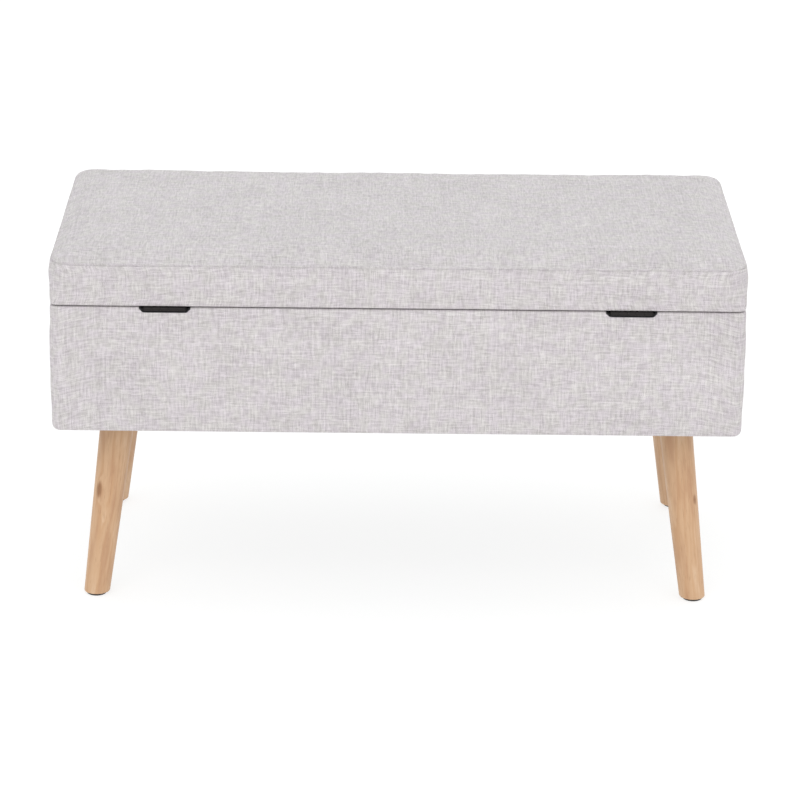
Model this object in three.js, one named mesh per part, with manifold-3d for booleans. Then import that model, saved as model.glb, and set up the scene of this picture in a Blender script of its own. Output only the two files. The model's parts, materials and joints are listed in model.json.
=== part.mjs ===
// A storage ottoman: an upholstered case on four splayed wooden legs, with a padded lid that
// swings on two butt hinges and is held by a two-arm stay at each end. Millimetres, +Z up.
// Origin: the floor under the middle. The hinge side faces -Y, the opening side faces +Y.

import * as THREE from "three";
import { mergeVertices } from "three/addons/utils/BufferGeometryUtils.js";
import Module from "manifold-3d";

const wasm = await Module();
wasm.setup();

// ---------------------------------------------------------------- driving dimensions

const LENGTH = 800;             // overall, along X
const WIDTH = 400;              // overall, along Y
const HEIGHT = 430;             // floor to the top of the lid
const LEG_HEIGHT = 217;         // floor to the underside of the case
const LID_HEIGHT = 59.3;        // underside to top of the lid
const LID_OVERHANG = 1.5;       // how far the lid stands proud of the case, each side
const LID_GAP = 1.1;            // open line between the case's rim and the lid

const GAP = 0.3;                // between two pieces that lie on each other
const FABRIC = 1.2;             // linen-look upholstery cloth
const LINING = 0.8;             // black non-woven lining of the storage space
const DUST_CLOTH = 0.6;         // black non-woven cloth under the case and in the lid
const FABRIC_TURN = 30;         // width of cloth turned in under the case and the lid
const DUST_CLOTH_SETBACK = 16;  // dust cloth's edge inside the case's sides

const BOARD = 15;               // case boards
const BOARD_CORNER = 12;        // rounding of the case's upright corners
const CASE_FOAM = 4.5;          // foam sheet between the boards and the cloth
const FOAM_SETBACK = 4;         // foam sheets stop this far inside the boards' edges
const CASE_RIM_EDGE = 3;        // rounding of the cloth over the case's rim
const BLOCK_LEG = 30;           // short sides of the triangular corner blocks
const BLOCK_DROP = 25;          // corner blocks stop this far below the boards' top
const LINING_DROP = 2;          // lining stops this far below the boards' top

const LID_BOARD = 12;
const LID_BOARD_SETBACK = 4;    // lid board's edge inside the lid's outside
const LID_CORNER = 28;          // plan rounding of the lid's corners
const LID_TOP_EDGE = 22;        // rounding along the lid's top edge
const LID_BOTTOM_EDGE = 3;

const LEG_INSET = 72.5;         // leg's axis at the case's underside, from the case's sides
const LEG_SPLAY = 10;           // degrees, outwards along the case's diagonal
const LEG_TOP_RADIUS = 20;      // at the level of the case's underside
const LEG_FOOT_RADIUS = 15;     // at the floor
const LEG_CHAMFER = 1.5;
const GLIDE_RADIUS = 12;
const GLIDE_THICKNESS = 3;
const NAIL_RADIUS = 1.2;
const NAIL_LENGTH = 12;

const PLATE_SIZE = 62;          // pressed steel plate that each leg screws to
const PLATE_THICKNESS = 2.5;
const PLATE_CORNER = 6;
const PLATE_HOLE_SPACING = 46;
const PLATE_HOLE_RADIUS = 2.4;
const BOSS_RADIUS = 18;         // slanted boss that sets the leg's splay
const BOSS_REACH = 9;           // from the case's underside to the boss's face, along the leg
const BOLT_RADIUS = 3.9;        // hanger bolt, M8
const BOLT_IN_LEG = 40;
const BOLT_PAST_PLATE = 6;
const BOLT_HOLE_RADIUS = 7;     // bored through the bottom board and the dust cloth

const HINGE_INSET = 132.5;      // middle of each hinge, from the case's ends
const HINGE_LENGTH = 48;
const HINGE_PROUD = 1;          // how far the barrel stands out of the case's side
const BARREL_RADIUS = 2.5;
const PIN_RADIUS = 1;
const PIN_HEAD_RADIUS = 1.8;
const PIN_HEAD = 0.6;
const LEAF = 1.2;               // hinge leaf thickness
const LEAF_SETBACK = 1.8;       // leaf's edge short of the board's inner face
const KNUCKLES = 5;
const RECESS_END_CLEARANCE = 1.2;
const RECESS_SLOPE = 4.5;       // how much wider the recess is at the rim, each end

const SCREW_RADIUS = 1.5;
const SCREW_HEAD_RADIUS = 2.7;
const SCREW_LENGTH = 12;
const SCREW_SPACING = 30;

const STAY_PLATE = 1.5;         // brackets of the lid stays
const ARM_THICKNESS = 2;
const ARM_RADIUS = 8;           // half the arms' width
const STUD_RADIUS = 2.5;
const STUD_HEAD_RADIUS = 4.5;
const STUD_HEAD = 1.2;
const STAY_CASE_PIVOT = 70;     // from the hinge axis along Y, lid closed
const STAY_LID_PIVOT = 170;     // from the hinge axis along Y, lid closed
const STAY_LID_DROP = 14;       // lid pivot below the lid's underside
const CASE_BRACKET = { width: 26, height: 44, hole: 14 };
const LID_BRACKET = { length: 50, flange: 20, hole: 17 };

// ---------------------------------------------------------------- levels and faces

const caseTop = HEIGHT - LID_HEIGHT - LID_GAP;
const coverBottom = LEG_HEIGHT + DUST_CLOTH + GAP;
const boardBottom = coverBottom + FABRIC + GAP;
const boardTop = caseTop - FABRIC - GAP;
const storageFloor = boardBottom + BOARD + GAP;

const caseHalf = half(LENGTH / 2 - LID_OVERHANG, WIDTH / 2 - LID_OVERHANG);
const foamHalf = inset(caseHalf, FABRIC + GAP);
const boardHalf = inset(foamHalf, CASE_FOAM + GAP);
const innerHalf = inset(boardHalf, BOARD);
const liningHalf = inset(innerHalf, GAP);
const caseCorner = BOARD_CORNER + GAP + CASE_FOAM + GAP + FABRIC;
const caseBottomEdge = CASE_FOAM + FABRIC;

const lidHalf = half(LENGTH / 2, WIDTH / 2);
const lidBottom = HEIGHT - LID_HEIGHT;
const lidBoardBottom = lidBottom + FABRIC + GAP;
const lidBoardTop = lidBoardBottom + LID_BOARD;

const hingeX = caseHalf.x - HINGE_INSET;
const axisY = -(caseHalf.y + HINGE_PROUD - BARREL_RADIUS);
const axisZ = lidBottom - GAP - BARREL_RADIUS;
const recessFloor = axisZ - BARREL_RADIUS - GAP;
const leafWidth = -innerHalf.y - axisY - LEAF_SETBACK;
const screwY = -(boardHalf.y + innerHalf.y) / 2;

// ---------------------------------------------------------------- colours and finishes

const finish = {
  cloth: { color: 0xd5cdcc, roughness: 0.95, metalness: 0 },
  black_cloth: { color: 0x232326, roughness: 0.95, metalness: 0 },
  foam: { color: 0xe9e2c8, roughness: 0.9, metalness: 0 },
  plywood: { color: 0xc9a878, roughness: 0.75, metalness: 0 },
  leg_wood: { color: 0xcfa380, roughness: 0.5, metalness: 0 },
  black_steel: { color: 0x1c1a1a, roughness: 0.45, metalness: 0.6 },
  zinc_steel: { color: 0xb4b6b8, roughness: 0.35, metalness: 0.9 },
  glide_plastic: { color: 0x2a2622, roughness: 0.6, metalness: 0 },
};

// ---------------------------------------------------------------- small tools

function half(x, y) {
  return { x, y };
}

function inset(size, by) {
  return half(size.x - by, size.y - by);
}

function rectangle(size) {
  return new THREE.Shape([
    new THREE.Vector2(-size.x, -size.y),
    new THREE.Vector2(size.x, -size.y),
    new THREE.Vector2(size.x, size.y),
    new THREE.Vector2(-size.x, size.y),
  ]);
}

function roundedRectangle(size, radius) {
  const shape = new THREE.Shape();
  const x = size.x - radius;
  const y = size.y - radius;
  shape.absarc(x, -y, radius, -Math.PI / 2, 0);
  shape.absarc(x, y, radius, 0, Math.PI / 2);
  shape.absarc(-x, y, radius, Math.PI / 2, Math.PI);
  shape.absarc(-x, -y, radius, Math.PI, 1.5 * Math.PI);
  shape.closePath();
  return shape;
}

// A rectangle with its four corners cut off at 45 degrees.
function chamferedRectangle(size, cut) {
  const points = [];
  for (const [sx, sy] of [[1, -1], [1, 1], [-1, 1], [-1, -1]]) {
    const alongX = new THREE.Vector2(sx * (size.x - cut), sy * size.y);
    const alongY = new THREE.Vector2(sx * size.x, sy * (size.y - cut));
    points.push(...(sx * sy < 0 ? [alongX, alongY] : [alongY, alongX]));
  }
  return new THREE.Shape(points);
}

function circle(radius, x = 0, y = 0) {
  return new THREE.Shape().absarc(x, y, radius, 0, 2 * Math.PI);
}

// A bar with round ends between two points of a plane.
function link(from, to, radius) {
  const turn = Math.atan2(to.y - from.y, to.x - from.x);
  const shape = new THREE.Shape();
  shape.absarc(to.x, to.y, radius, turn - Math.PI / 2, turn + Math.PI / 2);
  shape.absarc(from.x, from.y, radius, turn + Math.PI / 2, turn + 1.5 * Math.PI);
  shape.closePath();
  return shape;
}

function toSolid(geometry) {
  const bare = geometry.index ? geometry.toNonIndexed() : geometry.clone();
  bare.deleteAttribute("normal");
  bare.deleteAttribute("uv");
  const merged = mergeVertices(bare, 1e-4);
  return new wasm.Manifold(
    new wasm.Mesh({
      numProp: 3,
      vertProperties: merged.attributes.position.array,
      triVerts: new Uint32Array(merged.index.array),
    }),
  );
}

function toGeometry(solid) {
  const mesh = solid.getMesh();
  const geometry = new THREE.BufferGeometry();
  const positions = new THREE.BufferAttribute(new Float32Array(mesh.vertProperties), 3);
  geometry.setAttribute("position", positions);
  geometry.setIndex(new THREE.BufferAttribute(new Uint32Array(mesh.triVerts), 1));
  const faceted = geometry.toNonIndexed();
  faceted.computeVertexNormals();
  return faceted;
}

// A shape drawn on the XY plane, filled from one level to another.
function prism(shape, low, high, segments = 3) {
  const settings = { depth: high - low, bevelEnabled: false, curveSegments: segments };
  return toSolid(new THREE.ExtrudeGeometry(shape, settings).translate(0, 0, low));
}

// A shape drawn with y for its x and z for its y, filled from one x to another.
function prismAlongX(shape, low, high, segments = 8) {
  const settings = { depth: high - low, bevelEnabled: false, curveSegments: segments };
  const geometry = new THREE.ExtrudeGeometry(shape, settings).translate(0, 0, low);
  const basis = new THREE.Matrix4().makeBasis(
    new THREE.Vector3(0, 1, 0),
    new THREE.Vector3(0, 0, 1),
    new THREE.Vector3(1, 0, 0),
  );
  return toSolid(geometry.applyMatrix4(basis));
}

// A shape drawn with x for its x and z for its y, filled from one y to another.
function prismAlongY(shape, low, high) {
  const settings = { depth: high - low, bevelEnabled: false };
  const geometry = new THREE.ExtrudeGeometry(shape, settings).rotateX(Math.PI / 2);
  return toSolid(geometry.translate(0, high, 0));
}

// The solid of revolution about Z of a closed outline of [radius, z] points.
function turned(profile, segments = 20) {
  const points = profile.map(([radius, z]) => new THREE.Vector2(radius, z));
  return toSolid(new THREE.LatheGeometry(points, segments).rotateX(Math.PI / 2));
}

function rod(radius, low, high, segments = 16) {
  return turned([[0, low], [radius, low], [radius, high], [0, high]], segments);
}

function rodAlongX(radius, low, high, y = 0, z = 0) {
  return prismAlongX(circle(radius, y, z), low, high);
}

// A block with rounded upright corners, whose bottom and top edges are rounded too.
function roundedBlock(size, corner, low, high, bottomEdge, topEdge) {
  const outline = roundedRectangle(size, corner);
  const rounded = (from, to, edge, segments) => {
    const settings = {
      depth: to - from - 2 * edge,
      bevelThickness: edge,
      bevelSize: edge,
      bevelOffset: -edge,
      bevelSegments: segments,
      curveSegments: 3,
    };
    return toSolid(new THREE.ExtrudeGeometry(outline, settings).translate(0, 0, from + edge));
  };
  const fromBelow = rounded(low, high + 2 * bottomEdge, bottomEdge, 3);
  const fromAbove = rounded(low - 2 * topEdge, high, topEdge, 4);
  return fromBelow.intersect(fromAbove);
}

const object = new THREE.Group();

function place(name, solid, look, parent = object) {
  const mesh = new THREE.Mesh(toGeometry(solid), new THREE.MeshStandardMaterial(look));
  mesh.name = name;
  parent.add(mesh);
  return mesh;
}

const SIDES = [["left", -1], ["right", 1]];
const CORNERS = [
  ["rear_left", -1, -1],
  ["rear_right", 1, -1],
  ["front_left", -1, 1],
  ["front_right", 1, 1],
];

// ---------------------------------------------------------------- shared cutters

// The shallow recesses in the rear rim that take the hinges, with sloped ends.
function hingeRecesses() {
  const floor = HINGE_LENGTH / 2 + RECESS_END_CLEARANCE;
  const rise = caseTop - recessFloor;
  const over = 5;
  const outward = (RECESS_SLOPE * (rise + over)) / rise;
  const cuts = SIDES.map(([, side]) => {
    const x = side * hingeX;
    const shape = new THREE.Shape([
      new THREE.Vector2(x - floor, recessFloor),
      new THREE.Vector2(x + floor, recessFloor),
      new THREE.Vector2(x + floor + outward, caseTop + over),
      new THREE.Vector2(x - floor - outward, caseTop + over),
    ]);
    return prismAlongY(shape, -caseHalf.y - over, -innerHalf.y + GAP);
  });
  return cuts[0].add(cuts[1]);
}

function screwPlaces() {
  return SIDES.flatMap(([name, side]) =>
    [["outer", side], ["inner", -side]].map(([end, direction]) => ({
      name: `${name}_${end}`,
      x: side * hingeX + (direction * SCREW_SPACING) / 2,
    })),
  );
}

// Pilot holes for the hinge screws between two levels.
function screwHoles(low, high) {
  const holes = screwPlaces().map(({ x }) =>
    rod(SCREW_RADIUS + GAP, low, high, 12).translate([x, screwY, 0]),
  );
  return holes.reduce((all, hole) => all.add(hole));
}

function boltHoles(low, high) {
  const holes = CORNERS.map(([, sx, sy]) =>
    rod(BOLT_HOLE_RADIUS, low, high, 16).translate([
      sx * (caseHalf.x - LEG_INSET),
      sy * (caseHalf.y - LEG_INSET),
      0,
    ]),
  );
  return holes.reduce((all, hole) => all.add(hole));
}

// ---------------------------------------------------------------- case

// The long boards run the whole length and carry the rounded upright corners.
function longPanel(side) {
  const outline = prism(roundedRectangle(boardHalf, BOARD_CORNER), boardBottom, boardTop);
  const keep = new THREE.BoxGeometry(2 * LENGTH, BOARD, 2 * HEIGHT);
  keep.translate(0, side * (boardHalf.y - BOARD / 2), boardBottom);
  return outline.intersect(toSolid(keep));
}

function endPanel(side) {
  const size = [BOARD, 2 * (innerHalf.y - GAP), boardTop - boardBottom];
  const panel = new THREE.BoxGeometry(...size);
  const middle = (boardTop + boardBottom) / 2;
  return toSolid(panel.translate(side * (boardHalf.x - BOARD / 2), 0, middle));
}

function cornerBlock(sx, sy) {
  const { x, y } = liningHalf;
  const points = [
    new THREE.Vector2(sx * x, sy * y),
    new THREE.Vector2(sx * (x - BLOCK_LEG), sy * y),
    new THREE.Vector2(sx * x, sy * (y - BLOCK_LEG)),
  ];
  return prism(new THREE.Shape(points), storageFloor, boardTop - BLOCK_DROP);
}

// One foam sheet on each side. The long ones wrap round the corners as far as the end ones.
function foamSheet(axis, side) {
  const low = boardBottom + FOAM_SETBACK;
  const high = boardTop - FOAM_SETBACK;
  const outer = roundedRectangle(foamHalf, BOARD_CORNER + GAP + CASE_FOAM);
  const inner = roundedRectangle(inset(boardHalf, -GAP), BOARD_CORNER + GAP);
  const ring = prism(outer, low, high).subtract(prism(inner, low - 1, high + 1));
  const split = boardHalf.y - BOARD_CORNER;
  const size = axis === "x" ? [LENGTH, 2 * split, HEIGHT] : [2 * LENGTH, LENGTH, HEIGHT];
  const keep = new THREE.BoxGeometry(...size);
  if (axis === "x") keep.translate((side * LENGTH) / 2, 0, boardBottom);
  else keep.translate(0, side * (split + GAP + LENGTH / 2), boardBottom);
  return ring.intersect(toSolid(keep));
}

// The cloth goes over the rim to the boards' inner face, and turns in underneath.
function caseCover() {
  const outer = roundedBlock(
    caseHalf, caseCorner, coverBottom, caseTop, caseBottomEdge, CASE_RIM_EDGE,
  );
  const inside = roundedBlock(
    inset(caseHalf, FABRIC),
    caseCorner - FABRIC,
    coverBottom + FABRIC,
    caseTop - FABRIC,
    caseBottomEdge - FABRIC,
    CASE_RIM_EDGE - FABRIC,
  );
  const mouth = prism(rectangle(innerHalf), boardTop - 1, caseTop + 1);
  const below = prism(rectangle(inset(boardHalf, FABRIC_TURN)), 0, boardBottom);
  return outer.subtract(inside).subtract(mouth).subtract(below).subtract(hingeRecesses());
}

function caseLining() {
  const cut = BLOCK_LEG + 2 * GAP;
  const top = boardTop - LINING_DROP;
  const outer = prism(chamferedRectangle(liningHalf, cut), storageFloor, top);
  const innerCut = cut - LINING * (2 - Math.SQRT2);
  const hollow = chamferedRectangle(inset(liningHalf, LINING), innerCut);
  return outer.subtract(prism(hollow, storageFloor + LINING, top + 1));
}

function buildCase() {
  const rear = longPanel(-1).subtract(hingeRecesses());
  const pilots = screwHoles(recessFloor - SCREW_LENGTH - 1, caseTop);
  place("rear_panel", rear.subtract(pilots), finish.plywood);
  place("front_panel", longPanel(1), finish.plywood);
  place("left_end_panel", endPanel(-1), finish.plywood);
  place("right_end_panel", endPanel(1), finish.plywood);

  const floor = prism(rectangle(liningHalf), boardBottom, boardBottom + BOARD);
  place("bottom_panel", floor.subtract(boltHoles(0, HEIGHT)), finish.plywood);
  for (const [name, sx, sy] of CORNERS)
    place(`corner_block_${name}`, cornerBlock(sx, sy), finish.plywood);

  place("case_foam_rear", foamSheet("y", -1), finish.foam);
  place("case_foam_front", foamSheet("y", 1), finish.foam);
  place("case_foam_left", foamSheet("x", -1), finish.foam);
  place("case_foam_right", foamSheet("x", 1), finish.foam);
  place("case_cover", caseCover(), finish.cloth);
  place("case_lining", caseLining(), finish.black_cloth);

  const dust = inset(caseHalf, DUST_CLOTH_SETBACK);
  const sheet = prism(rectangle(dust), LEG_HEIGHT, LEG_HEIGHT + DUST_CLOTH);
  place("dust_cover", sheet.subtract(boltHoles(0, HEIGHT)), finish.black_cloth);
}

// ---------------------------------------------------------------- legs

// Each leg's group stands at the case's underside, turned so that +X leans outwards.
const splay = THREE.MathUtils.degToRad(LEG_SPLAY);

function tilted(solid) {
  return solid.rotate([0, -LEG_SPLAY, 0]);
}

function legPlate() {
  const top = -GAP;
  const square = roundedRectangle(half(PLATE_SIZE / 2, PLATE_SIZE / 2), PLATE_CORNER);
  const flat = prism(square, top - PLATE_THICKNESS, top, 2);
  const offset = PLATE_HOLE_SPACING / 2;
  const holes = CORNERS.map(([, sx, sy]) =>
    rod(PLATE_HOLE_RADIUS, -PLATE_SIZE, PLATE_SIZE, 12).translate([sx * offset, sy * offset, 0]),
  );
  const base = holes.reduce((plate, hole) => plate.subtract(hole), flat).rotate([0, 0, 45]);
  const boss = tilted(rod(BOSS_RADIUS, -BOSS_REACH, 0, 28));
  const abovePlate = prism(circle(PLATE_SIZE), top, PLATE_SIZE);
  const bore = tilted(rod(BOLT_RADIUS + GAP, -PLATE_SIZE, PLATE_SIZE));
  return base.add(boss.subtract(abovePlate)).subtract(bore);
}

// A tapered leg, cut level just above the floor, bored for its bolt and its glide's nail.
function leg() {
  const length = LEG_HEIGHT / Math.cos(splay);
  const radiusAt = (down) =>
    LEG_TOP_RADIUS - ((LEG_TOP_RADIUS - LEG_FOOT_RADIUS) * down) / length;
  const top = BOSS_REACH + GAP;
  const past = length + 2 * LEG_FOOT_RADIUS;
  const taper = turned([
    [0, -past],
    [radiusAt(past), -past],
    [radiusAt(top + LEG_CHAMFER), -top - LEG_CHAMFER],
    [radiusAt(top) - LEG_CHAMFER, -top],
    [0, -top],
  ], 28);
  const footLevel = -LEG_HEIGHT + GLIDE_THICKNESS + GAP;
  const belowFoot = prism(circle(LEG_HEIGHT), -2 * LEG_HEIGHT, footLevel);
  const bolt = tilted(rod(BOLT_RADIUS + GAP, -top - BOLT_IN_LEG - 2, 0));
  const nail = rod(NAIL_RADIUS + GAP, -2 * LEG_HEIGHT, footLevel + NAIL_LENGTH + 1, 12);
  const cut = tilted(taper).subtract(belowFoot).subtract(bolt);
  return cut.subtract(nail.translate([Math.tan(splay) * LEG_HEIGHT, 0, 0]));
}

function hangerBolt() {
  return rod(BOLT_RADIUS, -BOSS_REACH - BOLT_IN_LEG, BOLT_PAST_PLATE);
}

function glide() {
  const rim = GLIDE_RADIUS - 1;
  const top = GLIDE_THICKNESS;
  return turned([
    [0, 0],
    [rim, 0],
    [GLIDE_RADIUS, 1],
    [GLIDE_RADIUS, top],
    [NAIL_RADIUS, top],
    [NAIL_RADIUS, top + NAIL_LENGTH - 1],
    [0, top + NAIL_LENGTH],
  ]);
}

function buildLegs() {
  for (const [name, sx, sy] of CORNERS) {
    const corner = new THREE.Group();
    corner.position.set(sx * (caseHalf.x - LEG_INSET), sy * (caseHalf.y - LEG_INSET), LEG_HEIGHT);
    corner.rotation.z = Math.atan2(sy, sx);
    object.add(corner);
    place(`leg_plate_${name}`, legPlate(), finish.zinc_steel, corner);
    place(`leg_${name}`, leg(), finish.leg_wood, corner);
    place(`leg_bolt_${name}`, hangerBolt(), finish.zinc_steel, corner).rotation.y = -splay;
    const foot = place(`leg_glide_${name}`, glide(), finish.glide_plastic, corner);
    foot.position.set(Math.tan(splay) * LEG_HEIGHT, 0, -LEG_HEIGHT);
  }
}

// ---------------------------------------------------------------- hinges

// The knuckles are numbered along the barrel; the case leaf has the even ones.
function knuckle(index, radius, slack) {
  const pitch = HINGE_LENGTH / KNUCKLES;
  const start = -HINGE_LENGTH / 2 + index * pitch;
  return rodAlongX(radius, start - slack, start + pitch + slack);
}

// A leaf lies inwards from the hinge axis, its outer face level with the barrel's far side.
function hingeLeaf(direction, parity) {
  const outer = direction * BARREL_RADIUS;
  const inner = outer - direction * LEAF;
  const plate = new THREE.BoxGeometry(HINGE_LENGTH - GAP, leafWidth, LEAF);
  let leaf = toSolid(plate.translate(0, leafWidth / 2, (outer + inner) / 2));
  for (let index = 0; index < KNUCKLES; index += 1)
    if (index % 2 === parity) leaf = leaf.add(knuckle(index, BARREL_RADIUS, -GAP / 2));
  for (let index = 0; index < KNUCKLES; index += 1)
    if (index % 2 !== parity) leaf = leaf.subtract(knuckle(index, BARREL_RADIUS + GAP, GAP / 2));
  leaf = leaf.subtract(rodAlongX(PIN_RADIUS + GAP, -HINGE_LENGTH, HINGE_LENGTH));
  const sink = turned([
    [0, -LEAF],
    [SCREW_RADIUS + GAP, -LEAF],
    [SCREW_HEAD_RADIUS + GAP, 0.05],
    [0, 0.05],
  ], 12);
  for (const end of [-1, 1]) {
    const hole = sink.add(rod(SCREW_RADIUS + GAP, -2 * LEAF, 0, 12));
    const facing = direction > 0 ? hole.rotate([180, 0, 0]) : hole;
    leaf = leaf.subtract(facing.translate([(end * SCREW_SPACING) / 2, screwY - axisY, inner]));
  }
  return leaf;
}

function hingePin() {
  const end = HINGE_LENGTH / 2 + GAP;
  const shaft = rodAlongX(PIN_RADIUS, -end, end);
  const heads = [-1, 1].map((side) => {
    const [low, high] = side < 0 ? [-end - PIN_HEAD, -end + 0.05] : [end - 0.05, end + PIN_HEAD];
    return rodAlongX(PIN_HEAD_RADIUS, low, high);
  });
  return shaft.add(heads[0]).add(heads[1]);
}

// A countersunk wood screw with its head's face at the origin, pointing down.
function woodScrew() {
  const face = -0.1;
  return turned([
    [0, -SCREW_LENGTH],
    [SCREW_RADIUS, -SCREW_LENGTH + 3],
    [SCREW_RADIUS, -LEAF + face],
    [SCREW_HEAD_RADIUS, face],
    [0, face],
  ], 12);
}

function buildHinges() {
  for (const [name, side] of SIDES) {
    const hinge = new THREE.Group();
    hinge.position.set(side * hingeX, axisY, axisZ);
    object.add(hinge);
    place(`hinge_case_leaf_${name}`, hingeLeaf(-1, 0), finish.black_steel, hinge);
    place(`hinge_lid_leaf_${name}`, hingeLeaf(1, 1), finish.black_steel, hinge);
    place(`hinge_pin_${name}`, hingePin(), finish.black_steel, hinge);
  }
  const faceToAxis = BARREL_RADIUS - LEAF;
  for (const { name, x } of screwPlaces()) {
    const down = place(`hinge_case_screw_${name}`, woodScrew(), finish.black_steel);
    down.position.set(x, screwY, axisZ - faceToAxis);
    const up = place(`hinge_lid_screw_${name}`, woodScrew(), finish.black_steel);
    up.position.set(x, screwY, axisZ + faceToAxis);
    up.rotation.x = Math.PI;
  }
}

// ---------------------------------------------------------------- lid

function buildLid() {
  const outer = roundedBlock(
    lidHalf, LID_CORNER, lidBottom, HEIGHT, LID_BOTTOM_EDGE, LID_TOP_EDGE,
  );
  const inside = roundedBlock(
    inset(lidHalf, FABRIC),
    LID_CORNER - FABRIC,
    lidBottom + FABRIC,
    HEIGHT - FABRIC,
    LID_BOTTOM_EDGE - FABRIC,
    LID_TOP_EDGE - FABRIC,
  );
  const opening = inset(lidHalf, FABRIC_TURN);
  const below = prism(rectangle(opening), lidBottom - 1, lidBoardBottom);
  const pilots = screwHoles(lidBottom - 1, lidBottom + SCREW_LENGTH);
  const cover = outer.subtract(inside).subtract(below).subtract(pilots);
  place("lid_cover", cover, finish.cloth);

  const boardSize = inset(lidHalf, LID_BOARD_SETBACK);
  const outline = roundedRectangle(boardSize, LID_CORNER - LID_BOARD_SETBACK);
  const board = prism(outline, lidBoardBottom, lidBoardTop);
  place("lid_board", board.subtract(pilots), finish.plywood);

  const skin = FABRIC + GAP;
  const foam = roundedBlock(
    inset(lidHalf, skin), LID_CORNER - skin, lidBoardTop + GAP, HEIGHT - skin, 1, LID_TOP_EDGE - skin,
  );
  place("lid_foam", foam, finish.foam);

  const lining = prism(rectangle(inset(opening, GAP)), lidBottom + GAP, lidBottom + GAP + DUST_CLOTH);
  place("lid_lining", lining, finish.black_cloth);
}

// ---------------------------------------------------------------- lid stays

// The pivots, as y and z with the lid closed. The two arms and the lines from the hinge axis to
// the case pivot and to the lid pivot make a parallelogram, so the joint between the arms
// closes at every opening of the lid.
const casePivot = new THREE.Vector2(axisY + STAY_CASE_PIVOT, (storageFloor + axisZ) / 2);
const lidPivot = new THREE.Vector2(axisY + STAY_LID_PIVOT, lidBottom - STAY_LID_DROP);
const elbow = casePivot.clone().add(lidPivot).sub(new THREE.Vector2(axisY, axisZ));

// The stay's layers, as distances inwards from the lining's face.
const bracketLayer = [GAP, GAP + STAY_PLATE];
const lowerLayer = [bracketLayer[1] + GAP, bracketLayer[1] + GAP + ARM_THICKNESS];
const upperLayer = [lowerLayer[1] + GAP, lowerLayer[1] + GAP + ARM_THICKNESS];

// A plate of the stay, drawn in y and z, in one layer of the left or the right stay.
function stayPlate(shape, [near, far], side) {
  const wall = liningHalf.x - LINING;
  const ends = [side * (wall - near), side * (wall - far)].sort((a, b) => a - b);
  return prismAlongX(shape, ...ends, 6);
}

function withHole(shape, point, radius) {
  shape.holes.push(new THREE.Path().absarc(point.x, point.y, radius, 0, 2 * Math.PI, true));
  return shape;
}

// A riveted stud that starts in one plate, passes through the next and has a head past it.
function stud(point, from, through, side) {
  const end = through[1] + GAP;
  const shank = stayPlate(circle(STUD_RADIUS, point.x, point.y), [from[0] + 0.5, end], side);
  const headLayer = [end - 0.05, end + STUD_HEAD];
  return shank.add(stayPlate(circle(STUD_HEAD_RADIUS, point.x, point.y), headLayer, side));
}

function caseBracket(side) {
  const { width, height, hole } = CASE_BRACKET;
  const shape = new THREE.Shape(
    roundedRectangle(half(width / 2, height / 2), 4).getPoints(4).map((p) => p.add(casePivot)),
  );
  for (const end of [-1, 1])
    withHole(shape, new THREE.Vector2(casePivot.x, casePivot.y + end * hole), SCREW_RADIUS + GAP);
  return stayPlate(shape, bracketLayer, side).add(stud(casePivot, bracketLayer, lowerLayer, side));
}

// A tab that holds the pivot, folded from a flange under the lid.
function lidBracket(side) {
  const top = lidBottom - GAP;
  const { length, flange, hole } = LID_BRACKET;
  const layer = [lowerLayer[0], lowerLayer[0] + STAY_PLATE];
  const above = new THREE.Vector2(lidPivot.x, top - ARM_RADIUS);
  const trim = prism(circle(LENGTH), top, top + LENGTH);
  const tab = stayPlate(link(lidPivot, above, ARM_RADIUS), layer, side).subtract(trim);
  const size = half(length / 2, STAY_PLATE / 2);
  const middle = new THREE.Vector2(lidPivot.x, top - STAY_PLATE / 2);
  const strip = new THREE.Shape(rectangle(size).getPoints().map((p) => p.add(middle)));
  let sheet = stayPlate(strip, [layer[0], layer[0] + flange], side);
  const x = side * (liningHalf.x - LINING - layer[0] - flange / 2);
  for (const end of [-1, 1]) {
    const drill = rod(SCREW_RADIUS + GAP, lidPivot.y, HEIGHT, 12);
    sheet = sheet.subtract(drill.translate([x, lidPivot.x + end * hole, 0]));
  }
  return tab.add(sheet).add(stud(lidPivot, layer, upperLayer, side));
}

function buildStays() {
  for (const [name, side] of SIDES) {
    place(`stay_case_bracket_${name}`, caseBracket(side), finish.zinc_steel);
    place(`stay_lid_bracket_${name}`, lidBracket(side), finish.zinc_steel);
    const hole = STUD_RADIUS + GAP;
    const lower = withHole(link(casePivot, elbow, ARM_RADIUS), casePivot, hole);
    const lowerArm = stayPlate(lower, lowerLayer, side);
    const pivot = stud(elbow, lowerLayer, upperLayer, side);
    place(`stay_lower_arm_${name}`, lowerArm.add(pivot), finish.zinc_steel);
    const bar = link(elbow, lidPivot, ARM_RADIUS);
    const upper = withHole(withHole(bar, elbow, hole), lidPivot, hole);
    place(`stay_upper_arm_${name}`, stayPlate(upper, upperLayer, side), finish.zinc_steel);
  }
}

buildCase();
buildLegs();
buildHinges();
buildLid();
buildStays();

export default object;
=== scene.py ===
"""A storage ottoman: an upholstered case with a padded, hinged lid, on four splayed wooden legs.

Everything is in metres. +Z is up, the floor is at zero, and the hinges are on the -Y side.
"""
import json
import math

import bmesh
import bpy
import numpy as np
from bpy.props import FloatProperty, FloatVectorProperty, IntProperty, PointerProperty
from mathutils import Matrix, Vector


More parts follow.
